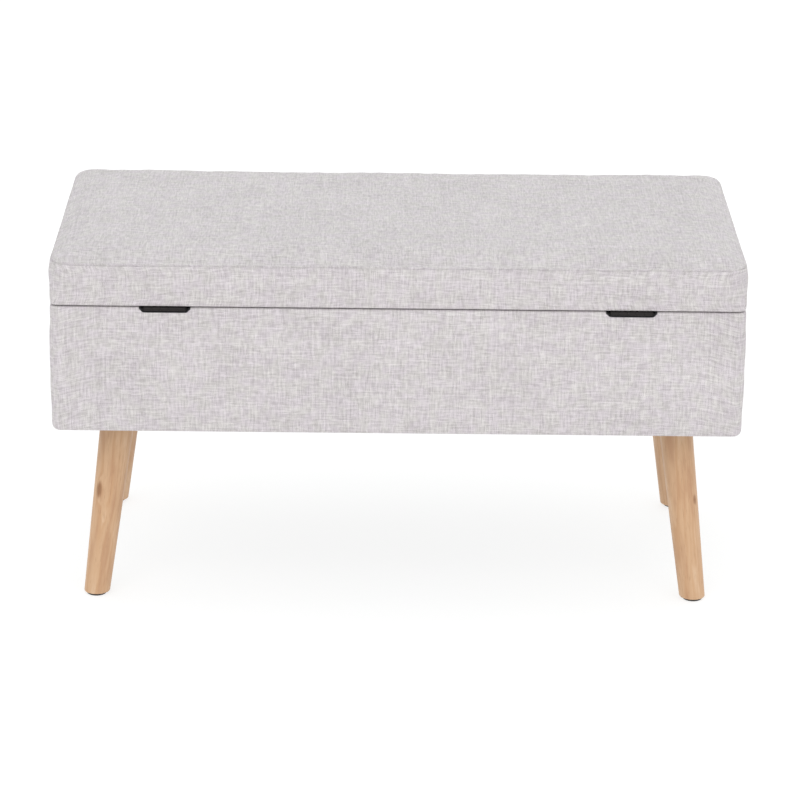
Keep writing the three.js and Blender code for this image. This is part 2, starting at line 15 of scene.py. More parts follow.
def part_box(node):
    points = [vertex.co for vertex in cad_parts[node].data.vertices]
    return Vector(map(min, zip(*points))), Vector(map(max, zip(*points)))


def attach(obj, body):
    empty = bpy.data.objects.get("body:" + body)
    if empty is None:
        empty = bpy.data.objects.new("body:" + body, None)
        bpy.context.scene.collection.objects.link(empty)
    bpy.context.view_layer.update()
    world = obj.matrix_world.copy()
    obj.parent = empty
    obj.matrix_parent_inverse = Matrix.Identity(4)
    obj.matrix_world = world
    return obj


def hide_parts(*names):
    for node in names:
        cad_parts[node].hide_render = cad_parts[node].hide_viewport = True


bl_info = {
    "name": "Storage ottoman",
    "version": (1, 0, 0),
    "blender": (4, 5, 0),
    "location": "View3D > Sidebar > Ottoman",
    "description": "Upholstery, fittings, legs and studio for a storage ottoman",
    "category": "Object",
}

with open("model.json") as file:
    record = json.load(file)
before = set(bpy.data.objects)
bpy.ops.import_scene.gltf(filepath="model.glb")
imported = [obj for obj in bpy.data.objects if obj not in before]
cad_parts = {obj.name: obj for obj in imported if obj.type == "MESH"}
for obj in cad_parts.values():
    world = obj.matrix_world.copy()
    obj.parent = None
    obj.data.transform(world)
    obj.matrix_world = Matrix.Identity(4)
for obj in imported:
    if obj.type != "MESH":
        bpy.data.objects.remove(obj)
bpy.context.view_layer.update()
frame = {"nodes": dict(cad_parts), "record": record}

MM = 0.001
SIDES = {"left": -1, "right": 1}
CORNERS = {
    "rear_left": (-1, -1),
    "rear_right": (1, -1),
    "front_left": (-1, 1),
    "front_right": (1, 1),
}
CLOTH = 1.2 * MM  # thickness of the linen
LINING = 0.6 * MM  # thickness of the black linings
GAP = 0.3 * MM  # clearance between the cloth and the foam
LEVEL = Vector((0, 0, 1))  # normal of a level cut
FINISH_PREFIX = "ottoman_"


# ---------------------------------------------------------------- sizes and colours

def length(text, about, default):
    """A length that a user may change."""
    return FloatProperty(name=text, description=about, default=default, unit="LENGTH")


def shade(text, about, default):
    """A colour that a user may change."""
    return FloatVectorProperty(name=text, description=about, default=default, subtype="COLOR", size=3)


class OTTOMAN_PG_lid(bpy.types.PropertyGroup):
    cell: length("Cell", "Size of the cushion's mesh cells before they are halved", 7.2 * MM)
    corner: length("Corner", "Radius of the lid's upright corners at its lower edge", 10 * MM)
    seam_corner: length("Seam corner", "Radius of the top panel's corners", 25 * MM)
    seam_height: length("Seam height", "Height of the top panel's seam over the lid's lower edge", 49 * MM)
    pinch: length("Pinch", "How far the band's two edges lie inside its fullest line", 2.3 * MM)
    crown_reach: length("Crown reach", "How far in from the seam the top goes on rising", 58 * MM)
    swell: length("Swell", "Most that the cover may swell from its cut shape", 2.2 * MM)
    seam_depth: length("Seam depth", "Depth of the groove along the seam", 2.2 * MM)
    seam_lift: length("Seam lift", "How much the seam climbs at the corners", 0.8 * MM)
    turn_in: length("Turn-in", "Width of the cloth turned in under the lid", 30 * MM)
    pressure: FloatProperty(name="Pressure", description="Air pressure that fills the cover", default=4.0)


class OTTOMAN_PG_case(bpy.types.PropertyGroup):
    cell: length("Cell", "Size of the cover's mesh cells before they are halved", 9 * MM)
    corner: length("Corner", "Radius of the case's upright corners", 11 * MM)
    bottom_edge: length("Bottom edge", "Radius of the case's lower edge", 8 * MM)
    rim_edge: length("Rim edge", "Radius of the rim's two edges", 2.6 * MM)
    taper: length("Taper", "How far the cloth draws in above the lower edge", 0.3 * MM)
    swell: length("Swell", "Most that the cover may swell from its cut shape", 1.0 * MM)
    recess_floor: length("Recess floor", "Half the hinge recess's width at its floor", 24.6 * MM)
    recess_slope: length("Recess slope", "Width of the recess's sloped ends", 4.5 * MM)
    recess_bottom: length("Recess bottom", "Height of the cloth under a hinge", 365.0 * MM)
    pressure: FloatProperty(name="Pressure", description="Air pressure that fills the cover", default=3.0)


class OTTOMAN_PG_linings(bpy.types.PropertyGroup):
    cell: length("Cell", "Size of the linings' mesh cells", 9 * MM)
    hem: length("Hem", "Width of the folded hems", 14 * MM)
    staple_pitch: length("Staple pitch", "Distance from one staple to the next", 42 * MM)
    crease: length("Crease", "Depth of the linings' slack folds", 1.2 * MM)


class OTTOMAN_PG_legs(bpy.types.PropertyGroup):
    top_radius: length("Top radius", "Radius of the taper at the height of the case's underside", 20 * MM)
    foot_radius: length("Foot radius", "Radius of the taper at the floor", 15 * MM)
    splay: FloatProperty(
        name="Splay", description="Angle between a leg and the upright",
        default=math.radians(10), subtype="ANGLE",
    )
    neck: length("Neck", "Distance along the leg from the case's underside to the leg's top", 9.3 * MM)
    foot_level: length("Foot level", "Height of the level cut over the floor", 3.3 * MM)
    chamfer: length("Chamfer", "Rounding of the leg's two ends", 1.4 * MM)
    facets: IntProperty(name="Facets", description="Sides of the turned leg", default=72, min=24)


class OTTOMAN_PG_finishes(bpy.types.PropertyGroup):
    linen: shade("Linen", "Colour of the cover's light threads", (0.838, 0.812, 0.824))
    linen_shadow: shade("Linen shadow", "Colour of the cover's dark threads", (0.435, 0.410, 0.418))
    thread: length("Thread", "Distance from one thread to the next", 1.05 * MM)
    non_woven: shade("Non-woven", "Colour of the black linings", (0.020, 0.020, 0.022))
    leg_wood: shade("Leg wood", "Colour of the wood between its rings", (0.625, 0.400, 0.240))
    leg_ring: shade("Leg ring", "Colour of the wood's darker rings", (0.545, 0.310, 0.165))
    knot: shade("Knot", "Colour of the knots", (0.260, 0.110, 0.042))
    black_paint: shade("Black paint", "Colour of the hinges", (0.008, 0.006, 0.006))
    zinc: shade("Zinc", "Colour of the plated steel", (0.560, 0.560, 0.570))
    foam: shade("Foam", "Colour of the foam", (0.800, 0.750, 0.580))


class OTTOMAN_PG_stage(bpy.types.PropertyGroup):
    camera_place: FloatVectorProperty(
        name="Camera", description="Where the camera stands", default=(-0.0214, -3.967, 1.596),
        subtype="TRANSLATION", size=3,
    )
    pitch: FloatProperty(
        name="Pitch", description="Angle of the camera below the horizon",
        default=math.radians(19.5), subtype="ANGLE",
    )
    yaw: FloatProperty(
        name="Yaw", description="Turn of the camera to the right", default=math.radians(0.374),
        subtype="ANGLE",
    )
    roll: FloatProperty(
        name="Roll", description="Lean of the camera", default=math.radians(0.695), subtype="ANGLE",
    )
    lens: FloatProperty(name="Lens", description="Focal length in millimetres", default=156.6)
    room: FloatProperty(name="Room", description="Brightness of the white room", default=0.92)
    floor_glow: FloatProperty(name="Floor glow", description="Light that the floor returns", default=0.77)


# ---------------------------------------------------------------- shader graphs

class Graph:
    """Builds a material's nodes in a few words."""

    def __init__(self, name):
        self.material = bpy.data.materials.new(FINISH_PREFIX + name)
        self.material.use_nodes = True
        self.tree = self.material.node_tree
        self.surface = self.tree.nodes["Principled BSDF"]

    def node(self, kind, **settings):
        """A new shader node with some of its settings changed."""
        made = self.tree.nodes.new("ShaderNode" + kind)
        for key, value in settings.items():
            setattr(made, key, value)
        return made

    def feed(self, socket, value):
        """Links a socket to another node's output, or gives it a constant."""
        if isinstance(value, bpy.types.NodeSocket):
            self.tree.links.new(value, socket)
        else:
            socket.default_value = value

    def math(self, operation, a, b=0.0, c=0.0):
        made = self.node("Math", operation=operation)
        for socket, value in zip(made.inputs, (a, b, c)):
            self.feed(socket, value)
        return made.outputs[0]

    def plus(self, a, b):
        return self.math("ADD", a, b)

    def minus(self, a, b):
        return self.math("SUBTRACT", a, b)

    def times(self, a, b):
        return self.math("MULTIPLY", a, b)

    def spread(self, value, low, high, to_low=0.0, to_high=1.0):
        """Turns the stretch from low to high into the stretch from to_low to to_high, softly."""
        made = self.node("MapRange", interpolation_type="SMOOTHSTEP")
        for socket, entry in zip(made.inputs, (value, low, high, to_low, to_high)):
            self.feed(socket, entry)
        return made.outputs[0]

    def vector(self, x, y, z=0.0):
        made = self.node("CombineXYZ")
        for socket, value in zip(made.inputs, (x, y, z)):
            self.feed(socket, value)
        return made.outputs[0]

    def split(self, value):
        made = self.node("SeparateXYZ")
        self.feed(made.inputs[0], value)
        return made.outputs

    def stretch(self, value, scale, move=(0, 0, 0)):
        made = self.node("Mapping")
        self.feed(made.inputs["Vector"], value)
        made.inputs["Scale"].default_value = scale
        made.inputs["Location"].default_value = move
        return made.outputs[0]

    def noise(self, value, scale=1.0, detail=2.0, roughness=0.5, output="Fac"):
        made = self.node("TexNoise")
        self.feed(made.inputs["Vector"], value)
        made.inputs["Scale"].default_value = scale
        made.inputs["Detail"].default_value = detail
        made.inputs["Roughness"].default_value = roughness
        return made.outputs[output]

    def cells(self, value, scale, randomness=1.0):
        """Distance from the nearest of many scattered points."""
        made = self.node("TexVoronoi", feature="F1")
        self.feed(made.inputs["Vector"], value)
        made.inputs["Scale"].default_value = scale
        made.inputs["Randomness"].default_value = randomness
        return made.outputs["Distance"]

    def mix(self, factor, a, b, blend="MIX"):
        made = self.node("Mix", data_type="RGBA", blend_type=blend)
        self.feed(made.inputs[0], factor)
        for socket, value in ((made.inputs[6], a), (made.inputs[7], b)):
            self.feed(socket, (*value, 1.0) if isinstance(value, tuple) and len(value) == 3 else value)
        return made.outputs[2]

    def bump(self, height, distance, strength=1.0, under=None):
        made = self.node("Bump")
        made.inputs["Strength"].default_value = strength
        made.inputs["Distance"].default_value = distance
        self.feed(made.inputs["Height"], height)
        if under is not None:
            self.feed(made.inputs["Normal"], under)
        return made.outputs[0]

    def finish(self, colour, normal=None, **constants):
        """Sets the surface's colour, its normal and its other inputs, and returns the material."""
        self.feed(self.surface.inputs["Base Color"], colour)
        if normal is not None:
            self.feed(self.surface.inputs["Normal"], normal)
        for key, value in constants.items():
            socket = key.replace("_", " ").title().replace("Ior", "IOR")
            self.feed(self.surface.inputs[socket], value)
        return self.material


def in_place(graph):
    """Coordinates fixed to the piece, in metres."""
    return graph.node("TexCoord").outputs["Object"]


def on_cloth(graph):
    """Coordinates along the piece's own threads, in metres."""
    return graph.node("UVMap", uv_map="cloth").outputs[0]


def linen_material(look):
    """Plain-woven linen cloth: uneven threads that pass over and under each other."""
    graph = Graph("linen_cloth")
    cloth = on_cloth(graph)
    warp, weft = linen_threads(graph, cloth, look.thread)
    height = graph.math("MAXIMUM", warp["height"], weft["height"])
    on_top = graph.spread(graph.minus(warp["height"], weft["height"]), -0.05, 0.05)
    covered = graph.minus(1.0, on_top)
    thread_tone = graph.plus(graph.times(warp["tone"], on_top), graph.times(weft["tone"], covered))
    streaks = graph.plus(yarn_streaks(graph, cloth, True), yarn_streaks(graph, cloth, False))
    tone = graph.math("MULTIPLY_ADD", thread_tone, 0.5, streaks)
    cloud = graph.noise(cloth, 14.0, 3.0)
    tone = graph.plus(tone, graph.math("MULTIPLY_ADD", cloud, 0.30, -0.15))
    threads = graph.mix(tone, tuple(look.linen_shadow), tuple(look.linen))
    blotch = graph.spread(graph.noise(cloth, 60.0, 3.0), 0.36, 0.64)
    yellowish, pinkish = (1.0, 0.985, 0.965), (0.995, 0.955, 0.985)
    colour = graph.mix(1.0, threads, graph.mix(blotch, yellowish, pinkish), "MULTIPLY")
    # Painted shade: the colour darkens where the threads lie low, in the gaps between them.
    thread_gap_shade = graph.spread(height, 0.05, 0.55, 0.70, 1.0)
    colour = graph.mix(1.0, colour, graph.vector(thread_gap_shade, thread_gap_shade, thread_gap_shade), "MULTIPLY")
    fuzz = graph.bump(graph.noise(cloth, 2600.0, 2.0), 0.10 * MM, 0.5)
    weave = graph.bump(height, 0.35 * MM, 0.9, fuzz)
    normal = graph.bump(streaks, 0.5 * MM, 0.8, weave)
    return graph.finish(
        colour, normal, roughness=0.92, specular_ior_level=0.18, sheen_weight=0.25, sheen_roughness=0.45,
    )


def linen_threads(graph, cloth, thread):
    """The two sets of threads, which drift a little from their straight lines."""
    drift_scale, drift_threads = 45.0, 1.6
    across, along, _ = graph.split(cloth)
    drift = graph.split(graph.noise(cloth, drift_scale, output="Color"))
    u = graph.math("MULTIPLY_ADD", across, 1.0 / thread, graph.times(drift[0], drift_threads))
    v = graph.math("MULTIPLY_ADD", along, 1.0 / thread, graph.times(drift[1], drift_threads))
    warp = woven_thread(graph, u, v, along, 3.7, 0.0)
    weft = woven_thread(graph, v, u, across, 5.3, 1.0)
    return warp, weft


def yarn_streaks(graph, cloth, upright):
    """Short thick places that neighbouring threads of one set share, from 0 to about 0.25."""
    fine, long = 430.0, 85.0
    scale = (fine, long, 1.0) if upright else (long, fine, 1.0)
    move = (3.1, 0.4, 0.0) if upright else (0.7, 8.2, 0.0)
    uneven = graph.noise(graph.stretch(cloth, scale, move), 1.0, 2.0, 0.55)
    return graph.spread(uneven, 0.34, 0.66, 0.0, 0.25)


def woven_thread(graph, place, other, run, seed, shift):
    """One set of threads: their height over the cloth's middle, and each thread's own tone."""
    number = graph.math("FLOOR", place)
    slub_place = graph.vector(graph.times(number, seed), graph.times(run, 42.0), shift * 9.0)
    slub = graph.noise(slub_place, 1.0, 2.0, 0.6)
    steady_place = graph.vector(graph.times(number, seed * 1.9), graph.times(run, 7.0), shift * 5.0)
    steady = graph.noise(steady_place, 1.0, 1.0)
    arch = graph.math("ABSOLUTE", graph.math("SINE", graph.times(place, math.pi)))
    round_over = graph.math("POWER", arch, 0.6)
    phase = graph.plus(graph.minus(other, 0.5), graph.plus(number, shift))
    over_under = graph.math("COSINE", graph.times(phase, math.pi))
    lift = graph.math("MULTIPLY_ADD", over_under, 0.42, 0.58)
    thick = graph.spread(slub, 0.30, 0.72, 0.78, 1.15)
    height = graph.times(graph.times(round_over, lift), thick)
    slub_tone = graph.spread(slub, 0.34, 0.64, 0.0, 0.6)
    tone = graph.plus(slub_tone, graph.spread(steady, 0.38, 0.62, 0.0, 0.4))
    return {"height": height, "tone": tone}


def non_woven_material(look):
    """Black spunbond lining: felted fibres pressed with small dots."""
    graph = Graph("black_cloth")
    cloth = on_cloth(graph)
    press = graph.spread(graph.cells(cloth, 620.0, 0.15), 0.18, 0.42)
    fibres = graph.noise(graph.stretch(cloth, (900.0, 2600.0, 1.0)), 1.0, 3.0, 0.7)
    cloud = graph.noise(cloth, 26.0, 3.0)
    base = tuple(look.non_woven)
    light = tuple(min(1.0, 2.3 * part) for part in base)
    tone = graph.math("MULTIPLY_ADD", fibres, 0.7, graph.times(cloud, 0.3))
    colour = graph.mix(graph.spread(tone, 0.3, 0.75), base, light)
    height = graph.math("MULTIPLY_ADD", press, 0.7, graph.times(fibres, 0.5))
    normal = graph.bump(height, 0.14 * MM, 0.8)
    return graph.finish(colour, normal, roughness=0.78, specular_ior_level=0.28, sheen_weight=0.08)


def leg_wood_material(look):
    """Clear-lacquered light hardwood, with growth rings, fine pores and a few small knots."""
    graph = Graph("leg_wood")
    grain = graph.node("Attribute", attribute_name="grain").outputs["Vector"]
    knot = graph.node("Attribute", attribute_name="knot").outputs["Fac"]
    x, y, _ = graph.split(grain)
    bend = graph.noise(graph.stretch(grain, (26.0, 26.0, 4.5)), 1.0, 2.0)
    heart_x = graph.plus(x, graph.times(bend, 16 * MM))
    squares = graph.plus(graph.math("POWER", heart_x, 2.0), graph.math("POWER", y, 2.0))
    radius = graph.math("SQRT", squares)
    pushed = graph.math("MULTIPLY_ADD", knot, 5 * MM, radius)
    spacing = 3.4 * MM
    ring = graph.math("FRACT", graph.math("DIVIDE", pushed, spacing))
    late = graph.times(graph.spread(ring, 0.25, 0.86), graph.spread(ring, 0.90, 1.0, 1.0, 0.0))
    age = graph.noise(graph.vector(graph.times(radius, 120.0), 0.0, 0.0), 1.0, 1.0)
    fibres = graph.noise(graph.stretch(grain, (900.0, 900.0, 22.0)), 1.0, 3.0, 0.6)
    pores = graph.spread(graph.noise(graph.stretch(grain, (1500.0, 1500.0, 70.0)), 1.0, 1.0), 0.63, 0.74)
    patches = graph.noise(graph.stretch(grain, (90.0, 90.0, 15.0)), 1.0, 3.0)
    reddish, pale = (0.46, 0.245, 0.135), (0.74, 0.53, 0.36)
    tone = graph.times(late, graph.spread(age, 0.3, 0.7, 0.25, 0.75))
    colour = graph.mix(tone, tuple(look.leg_wood), tuple(look.leg_ring))
    colour = graph.mix(graph.spread(fibres, 0.35, 0.75, 0.0, 0.32), colour, tuple(look.leg_ring))
    colour = graph.mix(graph.spread(patches, 0.46, 0.72, 0.0, 0.60), colour, reddish)
    colour = graph.mix(graph.spread(patches, 0.28, 0.45, 0.45, 0.0), colour, pale)
    colour = graph.mix(graph.times(pores, 0.35), colour, tuple(look.knot))
    ragged = graph.times(knot, graph.spread(fibres, 0.2, 0.7, 0.65, 1.15))
    colour = graph.mix(graph.spread(ragged, 0.30, 0.85, 0.0, 0.80), colour, tuple(look.knot))
    height = graph.math("MULTIPLY_ADD", fibres, 0.5, graph.times(pores, -0.6))
    normal = graph.bump(height, 0.09 * MM, 0.5)
    rough = graph.spread(fibres, 0.3, 0.7, 0.42, 0.54)
    return graph.finish(colour, normal, roughness=rough, specular_ior_level=0.42)


def board_material(name, thickness_axis, plies, light, dark):
    """Board wood: veneers stacked along one axis, or solid wood if the plies have no thickness."""
    graph = Graph(name)
    place = in_place(graph)
    fibres = graph.noise(graph.stretch(place, (14.0, 420.0, 420.0)), 1.0, 4.0, 0.65)
    cloud = graph.noise(place, 14.0, 3.0)
    tone = graph.math("MULTIPLY_ADD", fibres, 0.7, graph.times(cloud, 0.4))
    colour = graph.mix(graph.spread(tone, 0.3, 0.8), light, dark)
    if plies:
        layer = graph.math("FRACT", graph.math("DIVIDE", graph.split(place)[thickness_axis], 2 * plies))
        glue = graph.spread(graph.math("ABSOLUTE", graph.minus(layer, 0.5)), 0.0, 0.04, 0.45, 0.0)
        colour = graph.mix(glue, colour, tuple(0.4 * part for part in dark))
    normal = graph.bump(fibres, 0.12 * MM, 0.6)
    return graph.finish(colour, normal, roughness=0.68, specular_ior_level=0.3)


def foam_material(look):
    """Open-cell foam, with painted shade in its pores."""
    graph = Graph("foam")
    pores = graph.spread(graph.cells(in_place(graph), 900.0), 0.1, 0.6)
    base = tuple(look.foam)
    # Painted shade: the foam is darker in the middle of each pore, where its hollow lies in shade.
    colour = graph.mix(pores, tuple(0.72 * part for part in base), base)
    return graph.finish(colour, graph.bump(pores, 0.3 * MM, 0.7), roughness=0.95, specular_ior_level=0.1)


def painted_steel_material(look):
    """Black stoved paint on pressed steel, rubbed a little brown at its edges."""
    graph = Graph("black_steel")
    place = in_place(graph)
    worn_edge = graph.spread(graph.node("NewGeometry").outputs["Pointiness"], 0.57, 0.68)
    patches = graph.spread(graph.noise(place, 420.0, 4.0, 0.7), 0.46, 0.66)
    wear = graph.times(worn_edge, patches)
    colour = graph.mix(graph.noise(place, 260.0, 3.0), tuple(look.black_paint), (0.016, 0.012, 0.012))
    colour = graph.mix(graph.times(wear, 0.6), colour, (0.10, 0.08, 0.07))
    peel = graph.bump(graph.noise(place, 1900.0, 2.0), 0.05 * MM, 0.6)
    rough = graph.spread(graph.noise(place, 700.0, 3.0), 0.3, 0.7, 0.34, 0.52)
    return graph.finish(colour, peel, roughness=rough, metallic=0.1, specular_ior_level=0.3)


def zinc_material(name, look, brushed):
    """Zinc-plated steel: a soft grey with a faint bluish and yellowish bloom."""
    graph = Graph(name)
    place = in_place(graph)
    bloom = graph.noise(place, 130.0, 3.0, 0.6)
    base = tuple(look.zinc)
    warm = (base[0] * 1.02, base[1] * 0.99, base[2] * 0.90)
    cool = (base[0] * 0.86, base[1] * 0.90, base[2] * 0.98)
    colour = graph.mix(graph.spread(bloom, 0.35, 0.65), warm, cool)
    lines = graph.noise(graph.stretch(place, (2400.0, 90.0, 2400.0) if brushed else (900.0,) * 3), 1.0, 3.0)
    dull = graph.spread(graph.noise(place, 60.0, 4.0, 0.7), 0.45, 0.7)
    colour = graph.mix(graph.times(dull, 0.35), colour, (0.30, 0.30, 0.31))
    rough = graph.math("MULTIPLY_ADD", lines, 0.22, 0.24)
    return graph.finish(colour, graph.bump(lines, 0.03 * MM, 0.5), roughness=rough, metallic=1.0)


def glide_material():
    """Dark moulded plastic, scuffed underneath."""
    graph = Graph("glide_plastic")
    place = in_place(graph)
    scuff = graph.noise(graph.stretch(place, (700.0, 160.0, 500.0)), 1.0, 4.0, 0.7)
    colour = graph.mix(graph.spread(scuff, 0.45, 0.75), (0.022, 0.019, 0.017), (0.075, 0.068, 0.062))
    rough = graph.spread(scuff, 0.3, 0.7, 0.42, 0.66)
    return graph.finish(colour, graph.bump(scuff, 0.05 * MM, 0.5), roughness=rough, specular_ior_level=0.4)


def material(name):
    """A finish by name, made when it is first asked for."""
    if FINISH_PREFIX + name in bpy.data.materials:
        return bpy.data.materials[FINISH_PREFIX + name]
    look = bpy.context.scene.ottoman_finishes
    birch = ((0.66, 0.48, 0.28), (0.50, 0.33, 0.17))
    pine = ((0.70, 0.52, 0.31), (0.54, 0.35, 0.18))
    ply = 1.4 * MM
    makers = {
        "linen_cloth": lambda: linen_material(look),
        "black_cloth": lambda: non_woven_material(look),
        "leg_wood": lambda: leg_wood_material(look),
        "plywood_upright_long": lambda: board_material(name, 1, ply, *birch),
        "plywood_upright_end": lambda: board_material(name, 0, ply, *birch),
        "plywood_level": lambda: board_material(name, 2, ply, *birch),
        "corner_wood": lambda: board_material(name, 0, 0, *pine),
        "foam": lambda: foam_material(look),
        "black_steel": lambda: painted_steel_material(look),
        "zinc_steel": lambda: zinc_material(name, look, False),
        "stay_steel": lambda: zinc_material(name, look, True),
        "glide_plastic": glide_material,
    }
    return makers[name]()


# ---------------------------------------------------------------- tools for shaping

def choose(*pieces):
    """Selects only these pieces, and makes the first one active."""
    bpy.ops.object.select_all(action="DESELECT")
    for piece in pieces:
        piece.select_set(True)
    bpy.context.view_layer.objects.active = pieces[0]


def apply_modifier(piece, kind, **settings):
    """Adds a modifier to a piece and applies it."""
    choose(piece)
    modifier = piece.modifiers.new(kind.title(), kind)
    for key, value in settings.items():
        setattr(modifier, key, value)
    bpy.ops.object.modifier_apply(modifier=modifier.name)


def edit(piece, action="DESELECT"):
    """Opens a piece in edit mode with everything or nothing selected."""
    choose(piece)
    bpy.ops.object.mode_set(mode="EDIT")
    bpy.ops.mesh.select_all(action=action)


def close_edit():
    """Goes back to object mode."""
    bpy.ops.object.mode_set(mode="OBJECT")


def bisect(piece, height, **settings):
    """Cuts a piece along a level plane."""
    edit(piece, "SELECT")
    bpy.ops.mesh.bisect(plane_co=(0, 0, height), plane_no=LEVEL, **settings)
    close_edit()


def pick_edges(piece, wanted):
    """Opens a piece in edit mode with the edges for which wanted(start, end) is true selected."""
    edit(piece)
    bpy.ops.mesh.select_mode(type="EDGE")
    mesh = bmesh.from_edit_mesh(piece.data)
    for edge in mesh.edges:
        if wanted(edge.verts[0].co, edge.verts[1].co):
            edge.select = True
    mesh.select_flush_mode()
    bmesh.update_edit_mesh(piece.data)


def bevel_picked(width, segments):
    """Bevels the picked edges and closes edit mode."""
    bpy.ops.mesh.bevel(offset=width, segments=segments, affect="EDGES")
    close_edit()


def extrude_picked(move):
    """Extrudes the picked edges by a move and closes edit mode."""
    bpy.ops.mesh.extrude_region_move(TRANSFORM_OT_translate={"value": move})
    close_edit()


def shade_to(piece, degrees):
    """Shades a piece smooth, apart from edges sharper than an angle."""
    choose(piece)
    bpy.ops.object.shade_smooth_by_angle(angle=math.radians(degrees))


def make_cloth(piece, thickness):
    """Rounds a sheet's mesh and gives it the cloth's thickness, inward from its good side."""
    apply_modifier(piece, "SUBSURF", levels=1, render_levels=1)
    apply_modifier(piece, "SOLIDIFY", thickness=thickness, offset=-1)
    choose(piece)
    bpy.ops.object.shade_smooth()


def settle(piece):
    """Applies a piece's place, turn and size, so that its object sits at the origin."""
    choose(piece)
    bpy.ops.object.transform_apply(location=True, rotation=True, scale=True)


def hand_over(piece, name, finish, body, replaced=()):
    """Names a piece, and gives it its finish and its body. It hides the nodes that the piece replaces."""
    piece.name = name
    piece.data.name = name
    piece.data.materials.clear()
    piece.data.materials.append(material(finish))
    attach(piece, body)
    if replaced:
        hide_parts(*replaced)


def mesh_piece(name, points, faces):
    """A piece from its points and faces."""
    mesh = bpy.data.meshes.new(name)
    mesh.from_pydata(np.asarray(points).tolist(), [], faces)
    piece = bpy.data.objects.new(name, mesh)
    bpy.context.scene.collection.objects.link(piece)
    return piece


def cloth_piece(name, points, faces, places):
    """A piece with each face corner's place on the flat cloth."""
    piece = mesh_piece(name, points, faces)
    layer = piece.data.uv_layers.new(name="cloth")
    layer.data.foreach_set("uv", np.asarray(places, np.float32).ravel())
    return piece


def turned_over(faces, places):
    """The same four-cornered faces and places with their good sides on the other side."""
    quads = [places[4 * n: 4 * n + 4][::-1] for n in range(len(faces))]
    return [face[::-1] for face in faces], [place for quad in quads for place in quad]


def read_points(piece):
    """The piece's points as rows of X, Y and Z."""
    points = np.zeros(len(piece.data.vertices) * 3)
    piece.data.vertices.foreach_get("co", points)
    return points.reshape(-1, 3)


def write_points(piece, points):
    """Moves the piece's points to new places."""
    piece.data.vertices.foreach_set("co", np.asarray(points).ravel())
    piece.data.update()


def discard(piece):
    """Removes a model that has been copied or cut with."""
    mesh = piece.data
    bpy.data.objects.remove(piece)
    bpy.data.meshes.remove(mesh)


def smooth(value):
    """Rises softly from 0 to 1 as value does."""
    value = np.clip(value, 0, 1)
    return value * value * (3 - 2 * value)


def ripples(along, across, seed, waves=7, longest=0.30, shortest=0.05):
    """Smooth uneven waves between about -1 and 1, the same on each run."""
    draw = np.random.default_rng(seed)
    total = np.zeros(np.broadcast(along, across).shape)
    for share in np.linspace(0, 1, waves):
        size = longest * (shortest / longest) ** share
        turn = draw.uniform(0, 2 * math.pi)
        phase = draw.uniform(0, 2 * math.pi)
        wave = (np.cos(turn) * along + np.sin(turn) * across) * 2 * math.pi / size
        total = total + np.sin(wave + phase) * (size / longest) ** 0.5
    return total / (0.5 * waves) ** 0.5


class RoundedPlan:
    """The grid of a rectangular cloth panel with rounded corners, and the ring of its border."""

    def __init__(self, half_x, half_y, corner, cell, corner_cells=5, places=(), power=2.0):
        self.power = power
        self.straight_x, self.corner_x = self.lines(half_x - corner, cell, corner_cells, places)
        self.straight_y, self.corner_y = self.lines(half_y - corner, cell, corner_cells, ())
        columns, rows = len(self.straight_x), len(self.straight_y)
        self.shape = (columns, rows)
        walk = [(i, 0) for i in range(columns - 1)]
        walk += [(columns - 1, j) for j in range(rows - 1)]
        walk += [(i, rows - 1) for i in range(columns - 1, 0, -1)]
        walk += [(0, j) for j in range(rows - 1, 0, -1)]
        self.border = tuple(np.array(walk).T)
        self.inward = (np.clip(self.border[0], 1, columns - 2), np.clip(self.border[1], 1, rows - 2))

    @staticmethod
    def lines(straight, cell, corner_cells, places):
        """The grid lines across one side, as shares of its straight part and of its corners."""
        even = np.linspace(-1, 1, max(2, round(2 * straight / cell)) + 1)
        for place in places:
            even = even[np.abs(even * straight - place) > 0.4 * cell]
        even = np.sort(np.concatenate([even, np.array(places) / straight]))
        corner = np.linspace(0, 1, corner_cells + 1)[1:] ** 0.85
        ones = np.ones(corner_cells)
        return (
            np.concatenate([-ones, even, ones]),
            np.concatenate([-corner[::-1], np.zeros(len(even)), corner]),
        )

    def grid(self, half_x, half_y, corner):
        """X and Y of every grid point, and its distance from the border."""
        x = self.straight_x * (half_x - corner) + self.corner_x * corner
        y = self.straight_y * (half_y - corner) + self.corner_y * corner
        depth = np.minimum((half_x - np.abs(x))[:, None], (half_y - np.abs(y))[None, :])
        a = (np.abs(self.corner_x) * corner)[:, None] + np.zeros(self.shape)
        b = (np.abs(self.corner_y) * corner)[None, :] + np.zeros(self.shape)
        reach = (a ** self.power + b ** self.power) ** (1 / self.power)
        scale = np.where((a > 0) & (b > 0), np.maximum(a, b) / np.maximum(reach, 1e-9), 1.0)
        rounded_x = np.sign(self.corner_x)[:, None] * a * scale
        rounded_y = np.sign(self.corner_y)[None, :] * b * scale
        full_x = (self.straight_x * (half_x - corner))[:, None] + rounded_x
        full_y = (self.straight_y * (half_y - corner))[None, :] + rounded_y
        return full_x, full_y, depth

    def ring(self, half_x, half_y, corner, height):
        """The border's points, counterclockwise seen from above."""
        x, y, _ = self.grid(half_x, half_y, max(corner, 1 * MM))
        level = np.zeros(len(self.border[0])) + height
        return np.stack([x[self.border], y[self.border], level], axis=1)


def ring_lengths(ring):
    """Length along a closed ring up to each point, and back to the first."""
    steps = np.linalg.norm(np.roll(ring, -1, axis=0) - ring, axis=1)
    return np.concatenate([[0], np.cumsum(steps)])


